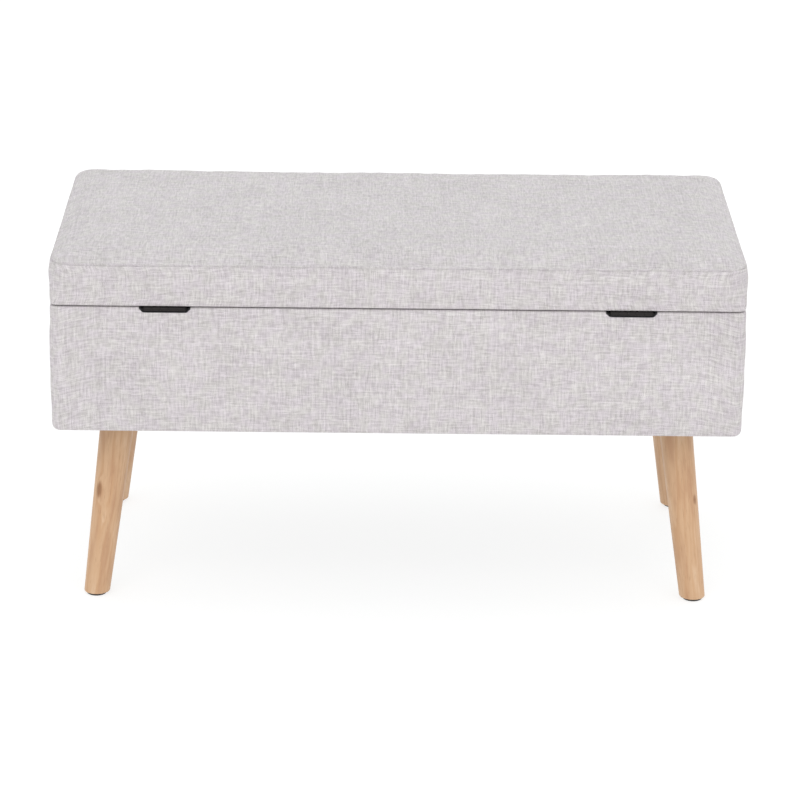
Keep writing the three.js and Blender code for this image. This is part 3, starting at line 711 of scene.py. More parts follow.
def side_lengths(plan, rings):
    """Where each ring's edges start and end along the cloth, with the middles of the sides in line."""
    columns, rows = plan.shape
    marks = np.cumsum([0, columns - 1, rows - 1, columns - 1, rows - 1])
    whole = ring_lengths(rings[-1])
    starts = []
    ends = []
    for ring in rings:
        own = ring_lengths(ring)
        shifts = [(whole[a] + whole[b] - own[a] - own[b]) / 2 for a, b in zip(marks, marks[1:])]
        shift = np.repeat(shifts, np.diff(marks))
        starts.append(own[:-1] + shift)
        ends.append(own[1:] + shift)
    return starts, ends


def steady_lengths(along, rings):
    """The same start and end of each edge for every ring."""
    return [along[:-1]] * len(rings), [along[1:]] * len(rings)


def loft(rings, start, along, across):
    """Faces between rings of points, and their places on the flat cloth."""
    starts, ends = along
    count = len(rings[0])
    faces = []
    places = []
    for level in range(len(rings) - 1):
        low = start + level * count
        for column in range(count):
            following = (column + 1) % count
            faces.append((low + column, low + following, low + count + following, low + count + column))
            places += [
                (starts[level][column], across[level][column]),
                (ends[level][column], across[level][following]),
                (ends[level + 1][column], across[level + 1][following]),
                (starts[level + 1][column], across[level + 1][column]),
            ]
    return faces, places


def climb(rings):
    """Length of cloth from the first ring up to each ring, column by column."""
    steps = [np.zeros(len(rings[0]))]
    for low, high in zip(rings, rings[1:]):
        steps.append(steps[-1] + np.linalg.norm(high - low, axis=1))
    return steps


def panel_faces(plan, border_start, inside_start, places_x, places_y):
    """Faces of a whole panel whose border is a ring that is already there."""
    columns, rows = plan.shape
    number = np.zeros(plan.shape, int)
    inside = np.arange((columns - 2) * (rows - 2)).reshape(columns - 2, rows - 2)
    number[1:-1, 1:-1] = inside_start + inside
    number[plan.border] = border_start + np.arange(len(plan.border[0]))
    faces = []
    places = []
    for i in range(columns - 1):
        for j in range(rows - 1):
            corners = ((i, j), (i + 1, j), (i + 1, j + 1), (i, j + 1))
            faces.append(tuple(int(number[c]) for c in corners))
            places += [(places_x[c], places_y[c]) for c in corners]
    return faces, places


def inflate(piece, fixed, pressure, most, slack=0.0, frames=20):
    """Fills a cloth cover with air by simulation. No point goes further than most."""
    start = read_points(piece)
    held = piece.vertex_groups.new(name="held")
    held.add([int(v) for v in np.flatnonzero(fixed)], 1.0, "REPLACE")
    cloth = piece.modifiers.new("Cloth", "CLOTH")
    cloth.settings.quality = 6
    cloth.settings.mass = 0.25
    cloth.settings.tension_stiffness = 18
    cloth.settings.compression_stiffness = 18
    cloth.settings.shear_stiffness = 8
    cloth.settings.bending_stiffness = 0.8
    cloth.settings.vertex_group_mass = "held"
    cloth.settings.use_pressure = True
    cloth.settings.uniform_pressure_force = pressure
    cloth.settings.shrink_min = -slack
    cloth.settings.effector_weights.gravity = 0
    cloth.collision_settings.use_collision = False
    cloth.point_cache.frame_start = 1
    cloth.point_cache.frame_end = frames
    for step in range(1, frames + 1):
        bpy.context.scene.frame_set(step)
    evaluated = piece.evaluated_get(bpy.context.evaluated_depsgraph_get())
    ended = np.zeros(len(start) * 3)
    evaluated.data.vertices.foreach_get("co", ended)
    move = ended.reshape(-1, 3) - start
    far = np.linalg.norm(move, axis=1, keepdims=True)
    move *= np.minimum(1.0, most / np.maximum(far, 1e-9))
    bpy.context.scene.frame_set(1)
    piece.modifiers.remove(cloth)
    piece.vertex_groups.remove(held)
    write_points(piece, start + move)
    return start + move


# ---------------------------------------------------------------- lid cushion

def quarter_turn(radius, steps):
    """Inset and rise along a quarter circle from its level end to its upright end."""
    turns = np.linspace(0, math.pi / 2, steps + 1)
    return [(radius * (1 - math.sin(t)), radius * (1 - math.cos(t))) for t in turns]


def lid_shape(sizes):
    """The lid cover's cut shape: its plan, its rings from the turned-in edge to the seam, and its top."""
    low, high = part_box("lid_cover")
    edge_x, edge_y = high.x - sizes.pinch, high.y - sizes.pinch
    plan = RoundedPlan(high.x, high.y, sizes.corner, sizes.cell, 3)
    seam = low.z + sizes.seam_height
    edge = 3 * MM
    fullest = 0.35 * sizes.pinch
    crown_power = 2.3
    profile = [(sizes.turn_in * share, low.z) for share in (1.0, 0.75, 0.5, 0.3)]
    profile += [(inset, low.z + rise) for inset, rise in quarter_turn(edge, 3)]
    band_steps = round((seam - low.z - edge) / sizes.cell)
    for share in np.linspace(0, 1, band_steps + 1)[1:]:
        profile.append((-fullest * math.sin(math.pi * share), low.z + edge + share * (seam - low.z - edge)))
    rings = []
    for inset, height in profile:
        climbed = smooth((height - low.z - edge) / (seam - low.z - edge))
        corner = sizes.corner + (sizes.seam_corner - sizes.corner) * climbed
        rings.append(plan.ring(edge_x - inset, edge_y - inset, max(corner - inset, 1 * MM), height))
    x, y, depth = plan.grid(edge_x, edge_y, sizes.seam_corner)
    rise = high.z - seam - 0.8 * sizes.swell
    top = seam + rise * (1 - (1 - np.clip(depth / sizes.crown_reach, 0, 1)) ** crown_power)
    return plan, rings, np.stack([x, y, top], axis=2), len(quarter_turn(edge, 3)) + 4


def cushion_mesh(name, plan, rings, grid):
    """A cover from its rings and its top panel, whose border is the last ring."""
    inner = grid[1:-1, 1:-1].reshape(-1, 3)
    points = np.concatenate([*rings, inner])
    faces, places = loft(rings, 0, side_lengths(plan, rings), climb(rings))
    last = (len(rings) - 1) * len(rings[0])
    more, more_places = panel_faces(plan, last, last + len(rings[0]), grid[..., 0], grid[..., 1])
    return cloth_piece(name, points, faces + more, places + more_places)


def corner_closeness(points, reach):
    """1 at an upright corner of the lid, and 0 further than reach from it along the side."""
    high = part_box("lid_cover")[1]
    from_corner = np.maximum(high.x - np.abs(points[..., 0]), high.y - np.abs(points[..., 1]))
    return smooth(1 - from_corner / reach)


def lift_seam(points, sizes):
    """Raises the seam towards the corners, fading out down the band and in over the top."""
    low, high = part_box("lid_cover")
    seam = low.z + sizes.seam_height
    still, margin, fade_width, corner_reach = 8 * MM, 3 * MM, 34 * MM, 62 * MM
    up = smooth((points[..., 2] - low.z - still) / (seam - low.z - still))
    inward = np.minimum(high.x - np.abs(points[..., 0]), high.y - np.abs(points[..., 1]))
    fade = smooth(1 - (inward - margin) / fade_width)
    sway = 0.25 * MM * ripples(points[..., 0], points[..., 1], 11, longest=0.16, shortest=0.05)
    raised = points.copy()
    raised[..., 2] += up * fade * (sizes.seam_lift * corner_closeness(points, corner_reach) + sway)
    return raised


def sew_seam(plan, rings, grid, sizes):
    """Adds close rings beside the seam and draws the seam itself in."""
    seam = rings[-1]
    within = grid[plan.inward]
    near, far = 0.9 * MM, 2.6 * MM
    stitches, uneven = 23 * MM, 0.35
    steepness = 0.9
    step = np.roll(seam, -1, axis=0) - np.roll(seam, 1, axis=0)
    outward = np.column_stack([step[:, 1], -step[:, 0], np.zeros(len(seam))])
    outward /= np.linalg.norm(outward, axis=1, keepdims=True)
    away = (outward + np.array([0, 0, steepness])) / math.hypot(1, steepness)

    def beside(other, distance):
        run = other - seam
        return seam + run * (distance / np.linalg.norm(run, axis=1, keepdims=True))

    puckers = 1 + uneven * np.sin(ring_lengths(seam)[:-1] * 2 * math.pi / stitches)[:, None]
    groove = seam - away * sizes.seam_depth * puckers
    sewn = rings[:-1] + [beside(rings[-2], far), beside(rings[-2], near), groove]
    sewn += [beside(within, near), beside(within, far)]
    top = grid.copy()
    top[plan.border] = sewn[-1]
    return sewn, top


def build_lid_cushion(sizes):
    """The lid's sewn cover over its foam, and the foam inside it."""
    plan, rings, grid, edge_rings = lid_shape(sizes)
    cut = cushion_mesh("lid_cut", plan, rings, grid)
    columns = len(rings[0])
    fixed = np.zeros(len(cut.data.vertices), bool)
    fixed[: edge_rings * columns] = True
    fixed[(len(rings) - 1) * columns: len(rings) * columns] = True
    solved = inflate(cut, fixed, sizes.pressure, sizes.swell, slack=0.01)
    solved = lift_seam(solved, sizes)
    write_points(cut, solved)
    rings = list(solved[: len(rings) * columns].reshape(len(rings), columns, 3))
    grid[1:-1, 1:-1] = solved[len(rings) * columns:].reshape(*(n - 2 for n in plan.shape), 3)
    grid[plan.border] = rings[-1]
    build_lid_foam(cut, GAP + sizes.seam_depth)
    sewn, top = sew_seam(plan, rings, grid, sizes)
    cover = cushion_mesh("lid_cushion_cover", plan, sewn, top)
    make_cloth(cover, CLOTH)
    hand_over(cover, "lid_cushion_cover", "linen_cloth", "lid", ["lid_cover"])


def build_lid_foam(cut, clearance):
    """The foam block: the cover's shape, drawn in by the cloth and cut level over the lid's board."""
    apply_modifier(cut, "DISPLACE", strength=-(CLOTH + clearance), mid_level=0.0)
    bisect(cut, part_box("lid_foam")[0].z, use_fill=True, clear_inner=True)
    shade_to(cut, 40)
    hand_over(cut, "lid_cushion_foam", "foam", "lid", ["lid_foam"])


# ---------------------------------------------------------------- case cover

def hinge_places():
    """X of the middle of each hinge."""
    return [sum(corner.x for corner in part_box("hinge_pin_" + side)) / 2 for side in SIDES]


def recess_share(points, sizes):
    """1 over a hinge recess's floor, 0 beside it, and between on its sloped ends. Rear side only."""
    share = np.zeros(len(points))
    outer = sizes.recess_floor + sizes.recess_slope
    for middle in hinge_places():
        within = (outer - np.abs(points[:, 0] - middle)) / sizes.recess_slope
        share = np.maximum(share, np.clip(within, 0, 1))
    return np.where(points[:, 1] < 0, share, 0)


def recess_lines(sizes):
    """Extra grid lines where a recess's floor and slopes begin, doubled to keep the folds crisp."""
    close = 0.9 * MM
    folds = (sizes.recess_floor, sizes.recess_floor + sizes.recess_slope)
    reaches = [fold + shift for fold in folds for shift in (-close, close)]
    return sorted(middle + side * reach for middle in hinge_places() for side in (-1, 1) for reach in reaches)


def case_profile(sizes):
    """Inset and height along the case cover, from its turned-in edge under the case to inside the rim."""
    low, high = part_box("case_cover")
    under_dust_cover = 20 * MM
    turn_in = high.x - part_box("dust_cover")[1].x + under_dust_cover
    top = high.z - sizes.rim_edge
    profile = [(turn_in * share, low.z) for share in (1.0, 0.75, 0.5)]
    profile += [(sizes.taper + inset, low.z + rise) for inset, rise in quarter_turn(sizes.bottom_edge, 4)]
    side = top - low.z - sizes.bottom_edge
    for share in np.linspace(0, 1, round(side / sizes.cell) + 1)[1:]:
        drawn_in = side_inset(share, 0.6 * MM, 0.7, sizes)
        profile.append((drawn_in, low.z + sizes.bottom_edge + share * side))
    return profile + rim_profile(profile[-1][0], top, sizes)


def side_inset(share, under_rim, start, sizes):
    """How far the side lies in at a share of its height: most at its foot, and a little under the rim."""
    return sizes.taper * (1 - share) ** 3 + under_rim * smooth((share - start) / 0.3)


def rim_profile(drawn, top, sizes):
    """Inset and height over the rim, from the outer edge's foot to the cloth's end inside."""
    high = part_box("case_cover")[1]
    radius = sizes.rim_edge
    turns = np.linspace(0, math.pi / 2, 4)[1:]
    inside = high.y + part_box("rear_panel")[1].y + CLOTH
    first, last = drawn + radius, inside - radius
    profile = [(drawn + radius * (1 - math.cos(t)), top + radius * math.sin(t)) for t in turns]
    profile += [(first + share * (last - first), high.z) for share in (0.35, 0.7, 1.0)]
    profile += [(inside - radius * (1 - math.sin(t)), high.z - radius * (1 - math.cos(t))) for t in turns]
    return profile + [(inside, high.z - 1.6 * radius)]


def press_recesses(ring, sizes):
    """Lowers the rim's cloth into the hinge recesses, and gathers the cloth below them."""
    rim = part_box("case_cover")[1].z
    gathered = 18 * MM
    up = np.clip((ring[:, 2] - rim + gathered) / gathered, 0, 1)
    pressed = ring.copy()
    pressed[:, 2] -= (rim - sizes.recess_bottom) * recess_share(ring, sizes) * up
    return pressed


def line_up(ring, outer, ring_straight, outer_straight):
    """Keeps a ring's points straight across from the outer ring's, apart from the sides' last part."""
    steady = 330 * MM
    start = np.abs(outer[:, 0])
    lined = np.interp(start, [0, steady, outer_straight], [0, steady, ring_straight])
    ring[:, 0] = np.where(start <= outer_straight, np.sign(outer[:, 0]) * lined, ring[:, 0])
    return ring


def free_rings(profile, sizes):
    """Which rings lie on the case's upright sides, where the cloth may swell."""
    low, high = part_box("case_cover")
    below_rim, most_inset = 20 * MM, 5 * MM
    insets, heights = np.array(profile).T
    above_foot = heights > low.z + sizes.bottom_edge + MM
    return above_foot & (heights < high.z - below_rim) & (insets < most_inset)


def build_case_cover(sizes):
    """The case's cloth cover: stretched round the sides, under the bottom and over the rim."""
    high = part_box("case_cover")[1]
    corner = sizes.corner
    plan = RoundedPlan(high.x, high.y, corner, sizes.cell, 4, recess_lines(sizes))
    profile = case_profile(sizes)
    outer = plan.ring(high.x, high.y, corner, 0)
    rings = []
    for inset, height in profile:
        radius = max(corner - inset, 2 * MM)
        ring = plan.ring(high.x - inset, high.y - inset, radius, height)
        ring = line_up(ring, outer, high.x - inset - radius, high.x - corner)
        rings.append(press_recesses(ring, sizes))
    along = ring_lengths(outer)
    faces, places = loft(rings, 0, steady_lengths(along, rings), climb(rings))
    cover = cloth_piece("case_cloth_cover", np.concatenate(rings), faces, places)
    free = np.repeat(free_rings(profile, sizes), len(rings[0]))
    inflate(cover, ~free, sizes.pressure, sizes.swell, slack=0.004)
    make_cloth(cover, CLOTH)
    hand_over(cover, "case_cloth_cover", "linen_cloth", "case", ["case_cover"])
    build_case_foam(plan, sizes)
    build_recess_shade_tapes(sizes, cover)


def build_case_foam(plan, sizes):
    """Four foam sheets between the boards and the cloth. The long ones wrap round the corners."""
    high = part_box("case_cover")[1]
    foam_low, foam_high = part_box("case_foam_front")
    seam_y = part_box("case_foam_right")[1].y + 0.5 * GAP
    corner = sizes.corner - CLOTH - GAP
    board_corner = 12 * MM
    foot_rounding, foot_height = 2 * MM, 6 * MM
    board_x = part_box("right_end_panel")[1].x + GAP
    board_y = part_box("front_panel")[1].y + GAP
    inner = plan.ring(board_x, board_y, board_corner, 0)
    outer = []
    for level in np.linspace(foam_low.z, foam_high.z, 12):
        share = (level - foam_low.z) / (foam_high.z - foam_low.z)
        inset = CLOTH + GAP + side_inset(share, 0.8 * MM, 0.6, sizes)
        foot = foot_rounding * (1 - smooth((level - foam_low.z) / foot_height))
        outer.append(plan.ring(high.x - inset - foot, high.y - inset - foot, corner, level))
    x, y = outer[0][:, 0], outer[0][:, 1]
    ends = np.abs(y) <= seam_y
    picks = {
        "right": ends & (x > 0),
        "left": ends & (x < 0),
        "front": ~ends & (y > 0),
        "rear": ~ends & (y < 0),
    }
    for side, wanted in picks.items():
        build_foam_sheet(side, wanted, outer, inner)


def build_foam_sheet(side, wanted, outer, inner):
    """One foam sheet: a closed strip over the chosen columns of the plan."""
    count = len(wanted)
    first = next(c for c in range(count) if wanted[c] and not wanted[c - 1])
    chosen = []
    while wanted[(first + len(chosen)) % count]:
        chosen.append((first + len(chosen)) % count)
    back = [np.column_stack([inner[:, :2], ring[:, 2]]) for ring in reversed(outer)]
    strips = np.array([ring[chosen] for ring in outer + back])
    around, columns = strips.shape[:2]
    faces = []
    for level in range(around):
        following = (level + 1) % around
        for column in range(columns - 1):
            a, b = level * columns + column, following * columns + column
            faces.append((a, a + 1, b + 1, b))
    faces.append(tuple(level * columns for level in range(around)))
    faces.append(tuple(level * columns + columns - 1 for level in reversed(range(around))))
    piece = mesh_piece("case_foam_sheet", strips.reshape(-1, 3), faces)
    shade_to(piece, 35)
    hand_over(piece, "case_foam_sheet_" + side, "foam", "case", ["case_foam_" + side])


def build_recess_shade_tapes(sizes, cover):
    """A black tape laid into each hinge recess, over its floor and up its sloped ends. It is painted shade: a
    dark sheet put where the recess lies in shade under the lid.
    """
    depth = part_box("case_cover")[1].z - sizes.recess_bottom
    width = 21 * MM
    thickness, rounding = 0.25 * MM, 0.08 * MM
    for side, middle in zip(SIDES, hinge_places()):
        tape = folded_shade_tape(middle, depth, width, sizes)
        glue_down(tape, cover, sizes.recess_bottom)
        apply_modifier(tape, "SOLIDIFY", thickness=thickness, offset=1)
        apply_modifier(tape, "BEVEL", width=rounding, segments=2, limit_method="ANGLE")
        project_cloth(tape)
        # The tape is painted shade: black where the recess lies in the lid's shade.
        hand_over(tape, "hinge_recess_tape_" + side, "black_cloth", "case")


def tape_edge():
    """Y of a recess tape's fold over the rim's outer edge."""
    return -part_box("case_cover")[1].y + 0.6 * MM


def folded_shade_tape(middle, depth, width, sizes):
    """A thin black tape of painted shade in the shape of a recess: its floor, its sloped ends and a lip over
    the rim's edge.
    """
    over_cloth = 0.05 * MM
    lip = (0, -0.9 * MM, -0.8 * MM)
    choose_none()
    place = (middle, tape_edge() + width / 2, sizes.recess_bottom + over_cloth)
    bpy.ops.mesh.primitive_plane_add(size=1, location=place)
    tape = bpy.context.object
    tape.scale = (2 * sizes.recess_floor, width, 1)
    settle(tape)
    near_end = 0.9 * sizes.recess_floor
    for way in (-1, 1):
        pick_edges(tape, lambda a, b: min(way * (a.x - middle), way * (b.x - middle)) > near_end)
        extrude_picked((way * sizes.recess_slope, 0, depth))
    pick_edges(tape, lambda a, b: max(a.y, b.y) < tape_edge() + MM)
    extrude_picked(lip)
    edit(tape, "SELECT")
    bpy.ops.mesh.normals_make_consistent(inside=False)
    bpy.ops.mesh.subdivide(number_cuts=11)
    close_edit()
    return tape


def glue_down(tape, cover, floor):
    """Lays a tape on the cover. Over the recess's floor it stays level up to its inner edge."""
    glue, outer_edge = 0.12 * MM, 3 * MM
    apply_modifier(
        tape, "SHRINKWRAP", target=cover, wrap_method="NEAREST_SURFACEPOINT", wrap_mode="ABOVE_SURFACE",
        offset=glue,
    )
    points = read_points(tape)
    inner = points[:, 1] > tape_edge() + outer_edge
    points[inner, 2] = np.maximum(points[inner, 2], floor + glue)
    write_points(tape, points)


def choose_none():
    """Selects nothing."""
    bpy.ops.object.select_all(action="DESELECT")


def project_cloth(piece):
    """Gives each face its place on flat cloth by the side that it faces most."""
    mesh = piece.data
    layer = mesh.uv_layers.get("cloth") or mesh.uv_layers.new(name="cloth")
    for face in mesh.polygons:
        facing = max(range(3), key=lambda axis: abs(face.normal[axis]))
        first, second = [axis for axis in range(3) if axis != facing]
        for loop in face.loop_indices:
            point = mesh.vertices[mesh.loops[loop].vertex_index].co
            layer.data[loop].uv = (point[first], point[second])


# ---------------------------------------------------------------- linings and staples

def flat_lining(name, node, sizes, body, most_sag, seed, keep_clear):
    """A stapled flat lining with a folded hem, seen from below."""
    low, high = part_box(node)
    corner = 6 * MM
    pulled, folded = 0.12 * MM, 0.28 * MM
    sag_slope, hem_slope, edge_slope = 90 * MM, 1.6 * MM, 3 * MM
    plan = RoundedPlan(high.x, high.y, corner, sizes.cell, 3)
    x, y, depth = plan.grid(high.x, high.y, corner)
    inside = smooth((depth - sizes.hem) / sag_slope) * keep_clear(x, y)
    hem = smooth((depth - sizes.hem) / hem_slope)
    pulls = 0.5 - 0.5 * np.cos(2 * math.pi * (x + y) / sizes.staple_pitch)
    waves = ripples(x, y, seed, longest=0.26, shortest=0.05)
    z = low.z + pulled + folded * hem
    z = z - most_sag * inside * (0.75 + 0.25 * waves)
    z = z - pulled * pulls * (1 - hem) * smooth(depth / edge_slope)
    points = np.stack([x, y, z], axis=2)
    border = points[plan.border]
    faces, places = turned_over(*panel_faces(plan, 0, len(border), x, y))
    points = np.concatenate([border, points[1:-1, 1:-1].reshape(-1, 3)])
    sheet = cloth_piece(name, points, faces, places)
    make_cloth(sheet, LINING - 0.15 * MM)
    hand_over(sheet, name, "black_cloth", body, [node])
    return sheet


def staple_model():
    """One staple's crown with the tops of its two legs, lying along X and facing down."""
    crown, thick, wide = 9.0 * MM, 0.55 * MM, 1.1 * MM
    choose_none()
    bpy.ops.mesh.primitive_cube_add(size=1, location=(0, 0, -0.5 * thick))
    staple = bpy.context.object
    staple.scale = (crown, wide, thick)
    settle(staple)
    pick_edges(staple, lambda a, b: abs(a.x - b.x) > 0.5 * crown)
    bpy.ops.mesh.subdivide(number_cuts=2)
    close_edit()
    edit(staple)
    mesh = bmesh.from_edit_mesh(staple.data)
    for vertex in mesh.verts:
        if abs(vertex.co.x) < 0.4 * crown:
            vertex.co.x = math.copysign(0.5 * crown - thick, vertex.co.x)
        else:
            vertex.co.z += 0.35 * thick
    bmesh.update_edit_mesh(staple.data)
    close_edit()
    apply_modifier(staple, "BEVEL", width=0.13 * MM, segments=1, limit_method="ANGLE")
    return staple


def copy_piece(model, matrix):
    """A copy of a model with a mesh of its own, put in place."""
    made = model.copy()
    made.data = model.data.copy()
    made.data.transform(matrix)
    bpy.context.scene.collection.objects.link(made)
    return made


def staple_hem(name, node, sizes, body, seed):
    """Staples along the middle of a lining's hem on all four sides, each a little askew."""
    low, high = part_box(node)
    half_x, half_y = high.x - 0.5 * sizes.hem, high.y - 0.5 * sizes.hem
    model = staple_model()
    draw = np.random.default_rng(seed)
    askew, off_line, off_pitch = 0.13, 0.8, 2.5
    staples = []
    for length_half, other, turn in ((half_x, half_y, 0.0), (half_y, half_x, math.pi / 2)):
        count = max(2, round(2 * length_half / sizes.staple_pitch))
        for share in (np.arange(count) + 0.5) / count:
            for side in (-1, 1):
                along = (2 * share - 1) * length_half + draw.uniform(-off_pitch, off_pitch) * MM
                across = side * (other + draw.uniform(-off_line, off_line) * MM)
                place = (along, across) if turn == 0 else (across, along)
                lean = turn + draw.uniform(-askew, askew)
                matrix = Matrix.Translation((*place, low.z)) @ Matrix.Rotation(lean, 4, "Z")
                staples.append(copy_piece(model, matrix))
    discard(model)
    choose(*staples)
    bpy.ops.object.join()
    hand_over(bpy.context.object, name, "zinc_steel", body)


def build_lid_lining(sizes):
    """The black lining under the lid, stapled along its hem."""
    sheet = flat_lining("lid_lining_cloth", "lid_lining", sizes, "lid", 1.4 * MM, 21, lambda x, y: 1.0)
    staple_hem("lid_lining_staples", "lid_lining", sizes, "lid", 31)


def build_dust_cover(sizes):
    """The black dust cloth under the case, clear of the leg plates."""
    plates = [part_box("leg_plate_" + corner) for corner in CORNERS]
    margin, slope = 4 * MM, 60 * MM

    def clear_of_plates(x, y):
        clear = np.ones_like(x)
        for low, high in plates:
            outside = np.maximum(
                np.abs(x - (low.x + high.x) / 2) - (high.x - low.x) / 2,
                np.abs(y - (low.y + high.y) / 2) - (high.y - low.y) / 2,
            )
            clear = np.minimum(clear, smooth((outside - margin) / slope))
        return clear

    sheet = flat_lining("dust_cloth", "dust_cover", sizes, "case", 2.0 * MM, 22, clear_of_plates)
    staple_hem("dust_cloth_staples", "dust_cover", sizes, "case", 32)


def storage_chamfer(squareness):
    """How far the storage lining's corners are cut off, to clear the corner blocks."""
    low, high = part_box("corner_block_front_right")
    across_block = 0.5 * (high.x - low.x) + 1.2 * MM
    return across_block / (1 - 0.5 ** (1 / squareness))


def storage_profile(floor, fillet, top, hem):
    """Inset and height of the storage lining's walls, from the floor's fillet to the folded hem."""
    profile = [(inset, floor + rise) for inset, rise in quarter_turn(fillet, 4)[1:]]
    profile += [(0, level) for level in np.linspace(floor + fillet, hem - 1 * MM, 14)[1:]]
    profile += [(0.5 * MM, hem + 0.4 * MM), (0.55 * MM, (hem + top) / 2), (0.5 * MM, top - 0.6 * MM)]
    return profile + [(0.05 * MM, top)]


def build_storage_lining(sizes):
    """The black lining of the storage space: a floor and walls, cut off across the corner blocks."""
    low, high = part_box("case_lining")
    wall, fillet, squareness = 0.8 * MM, 7 * MM, 1.12
    wall_fold = 0.154 * MM
    chamfer = storage_chamfer(squareness)
    half_x, half_y, floor = high.x - wall, high.y - wall, low.z + wall
    plan = RoundedPlan(half_x, half_y, chamfer, sizes.cell, 5, (), squareness)
    floor_edge = (half_x - fillet, half_y - fillet, chamfer - 0.5 * fillet)
    x, y, depth = plan.grid(*floor_edge)
    waves = 0.5 + 0.5 * ripples(x, y, 23, longest=0.3, shortest=0.07)
    z = floor + sizes.crease * np.clip(waves, 0, 1.3) * smooth(depth / (50 * MM))
    hem = high.z - sizes.hem
    rings = [plan.ring(*floor_edge, floor)]
    for inset, level in storage_profile(floor, fillet, high.z, hem):
        ring = plan.ring(half_x - inset, half_y - inset, chamfer, level)
        slack = smooth((hem - level) / (40 * MM)) * smooth((level - floor - fillet) / (30 * MM))
        folds = ripples(ring_lengths(ring)[:-1], level * 3.0, 24, longest=0.25, shortest=0.05)
        push = wall_fold * slack * np.abs(folds)
        ring[:, :2] -= np.sign(ring[:, :2]) * push[:, None]
        rings.append(ring)
    along = ring_lengths(rings[-1])
    faces, places = turned_over(*loft(rings, 0, steady_lengths(along, rings), climb(rings)))
    inner = np.stack([x, y, z], axis=2)[1:-1, 1:-1].reshape(-1, 3)
    more, more_places = panel_faces(plan, 0, len(rings) * len(rings[0]), x, y)
    points = np.concatenate([*rings, inner])
    lining = cloth_piece("storage_lining", points, faces + more, places + more_places)
    make_cloth(lining, LINING)
    hand_over(lining, "storage_lining", "black_cloth", "case", ["case_lining"])


# ---------------------------------------------------------------- legs and their fittings

def leg_matrix(corner, sizes):
    """Turns a leg that stands on the origin into its splayed place, foot first."""
    mount = next(m for m in frame["record"]["mounts"] if m["name"] == "foot_" + corner)
    foot = Vector(mount["pos_m"])
    side_x, side_y = CORNERS[corner]
    bearing = math.atan2(side_y, side_x)
    lean = Matrix.Rotation(bearing, 4, "Z") @ Matrix.Rotation(-sizes.splay, 4, "Y")
    return Matrix.Translation(foot) @ lean


def knot_places(corner):
    """Knots of one leg: bearing in degrees, height, width and length in millimetres, and strength."""
    return {
        "rear_left": [
            (231, 128, 5.0, 13, 1.0), (265, 98, 2.5, 10, 0.5), (294, 18, 3.5, 6, 0.4),
            (262, 205, 2.0, 9, 0.45),
        ],
        "rear_right": [(322, 122, 4.0, 8, 0.9), (262, 60, 3.0, 20, 0.35), (285, 165, 3.0, 26, 0.4)],
        "front_left": [(60, 92, 4.0, 12, 0.7), (120, 140, 3.0, 22, 0.4)],
        "front_right": [(130, 75, 4.5, 11, 0.8), (80, 160, 3.0, 26, 0.4)],
    }[corner]


def knot_strength(point, local, corner, matrix):
    """How strongly a leg's knots colour a point: 0 away from them, and up to 1 in a knot's middle."""
    skin = 17 * MM
    strongest = 0.0
    for bearing, height, wide, tall, strength in knot_places(corner):
        angle = math.radians(bearing)
        centre = Vector((math.cos(angle), math.sin(angle), 0)) * skin
        offset = point - (matrix @ Vector((0, 0, height * MM))) - centre
        sideways = math.hypot(offset.x, offset.y) / (wide * MM)
        upwards = (local.z - height * MM) / (tall * MM)
        strongest = max(strongest, strength * math.exp(-0.9 * (sideways ** 2 + upwards ** 2)))
    return strongest


def grain_leg(leg, corner, matrix, seed):
    """Stores the wood's own coordinates and its knots on the leg."""
    draw = np.random.default_rng(seed)
    heart = Vector((draw.uniform(34, 46) * MM, draw.uniform(-20, 20) * MM, draw.uniform(0, 4)))
    turn = Matrix.Rotation(draw.uniform(0, 2 * math.pi), 4, "Z")
    back = matrix.inverted()
    grain = []
    knots = []
    for vertex in leg.data.vertices:
        local = back @ vertex.co
        grain.extend((turn @ local) + heart)
        knots.append(knot_strength(vertex.co, local, corner, matrix))
    leg.data.attributes.new("grain", "FLOAT_VECTOR", "POINT").data.foreach_set("vector", grain)
    leg.data.attributes.new("knot", "FLOAT", "POINT").data.foreach_set("value", knots)


def turned_leg(sizes):
    """An upright tapered leg over the origin, which goes on a little below it, with level loops."""
    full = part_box("dust_cover")[0].z / math.cos(sizes.splay)
    below = 8 * MM
    slope = (sizes.top_radius - sizes.foot_radius) / full
    tall = full - sizes.neck
    loops = np.linspace(0.02, 0.98, 56) * tall
    choose_none()
    bpy.ops.mesh.primitive_cone_add(
        vertices=sizes.facets, radius1=sizes.foot_radius - slope * below,
        radius2=sizes.foot_radius + slope * tall, depth=tall + below, location=(0, 0, (tall - below) / 2),
    )
    leg = bpy.context.object
    settle(leg)
    pick_edges(leg, lambda a, b: min(a.z, b.z) > tall - MM)
    bevel_picked(sizes.chamfer, 3)
    for height in loops:
        bisect(leg, height)
    return leg


def build_legs(sizes):
    """Four turned and tapered legs, cut level over the floor."""
    foot_rounding = 0.9 * MM
    for number, corner in enumerate(CORNERS):
        matrix = leg_matrix(corner, sizes)
        leg = turned_leg(sizes)
        leg.matrix_world = matrix
        settle(leg)
        bisect(leg, sizes.foot_level, use_fill=True, clear_inner=True)
        pick_edges(leg, lambda a, b: max(a.z, b.z) < sizes.foot_level + 0.01 * MM)
        bevel_picked(foot_rounding, 3)
        shade_to(leg, 50)
        grain_leg(leg, corner, matrix, 50 + number)
        hand_over(leg, "turned_leg_" + corner, "leg_wood", "case", ["leg_" + corner])


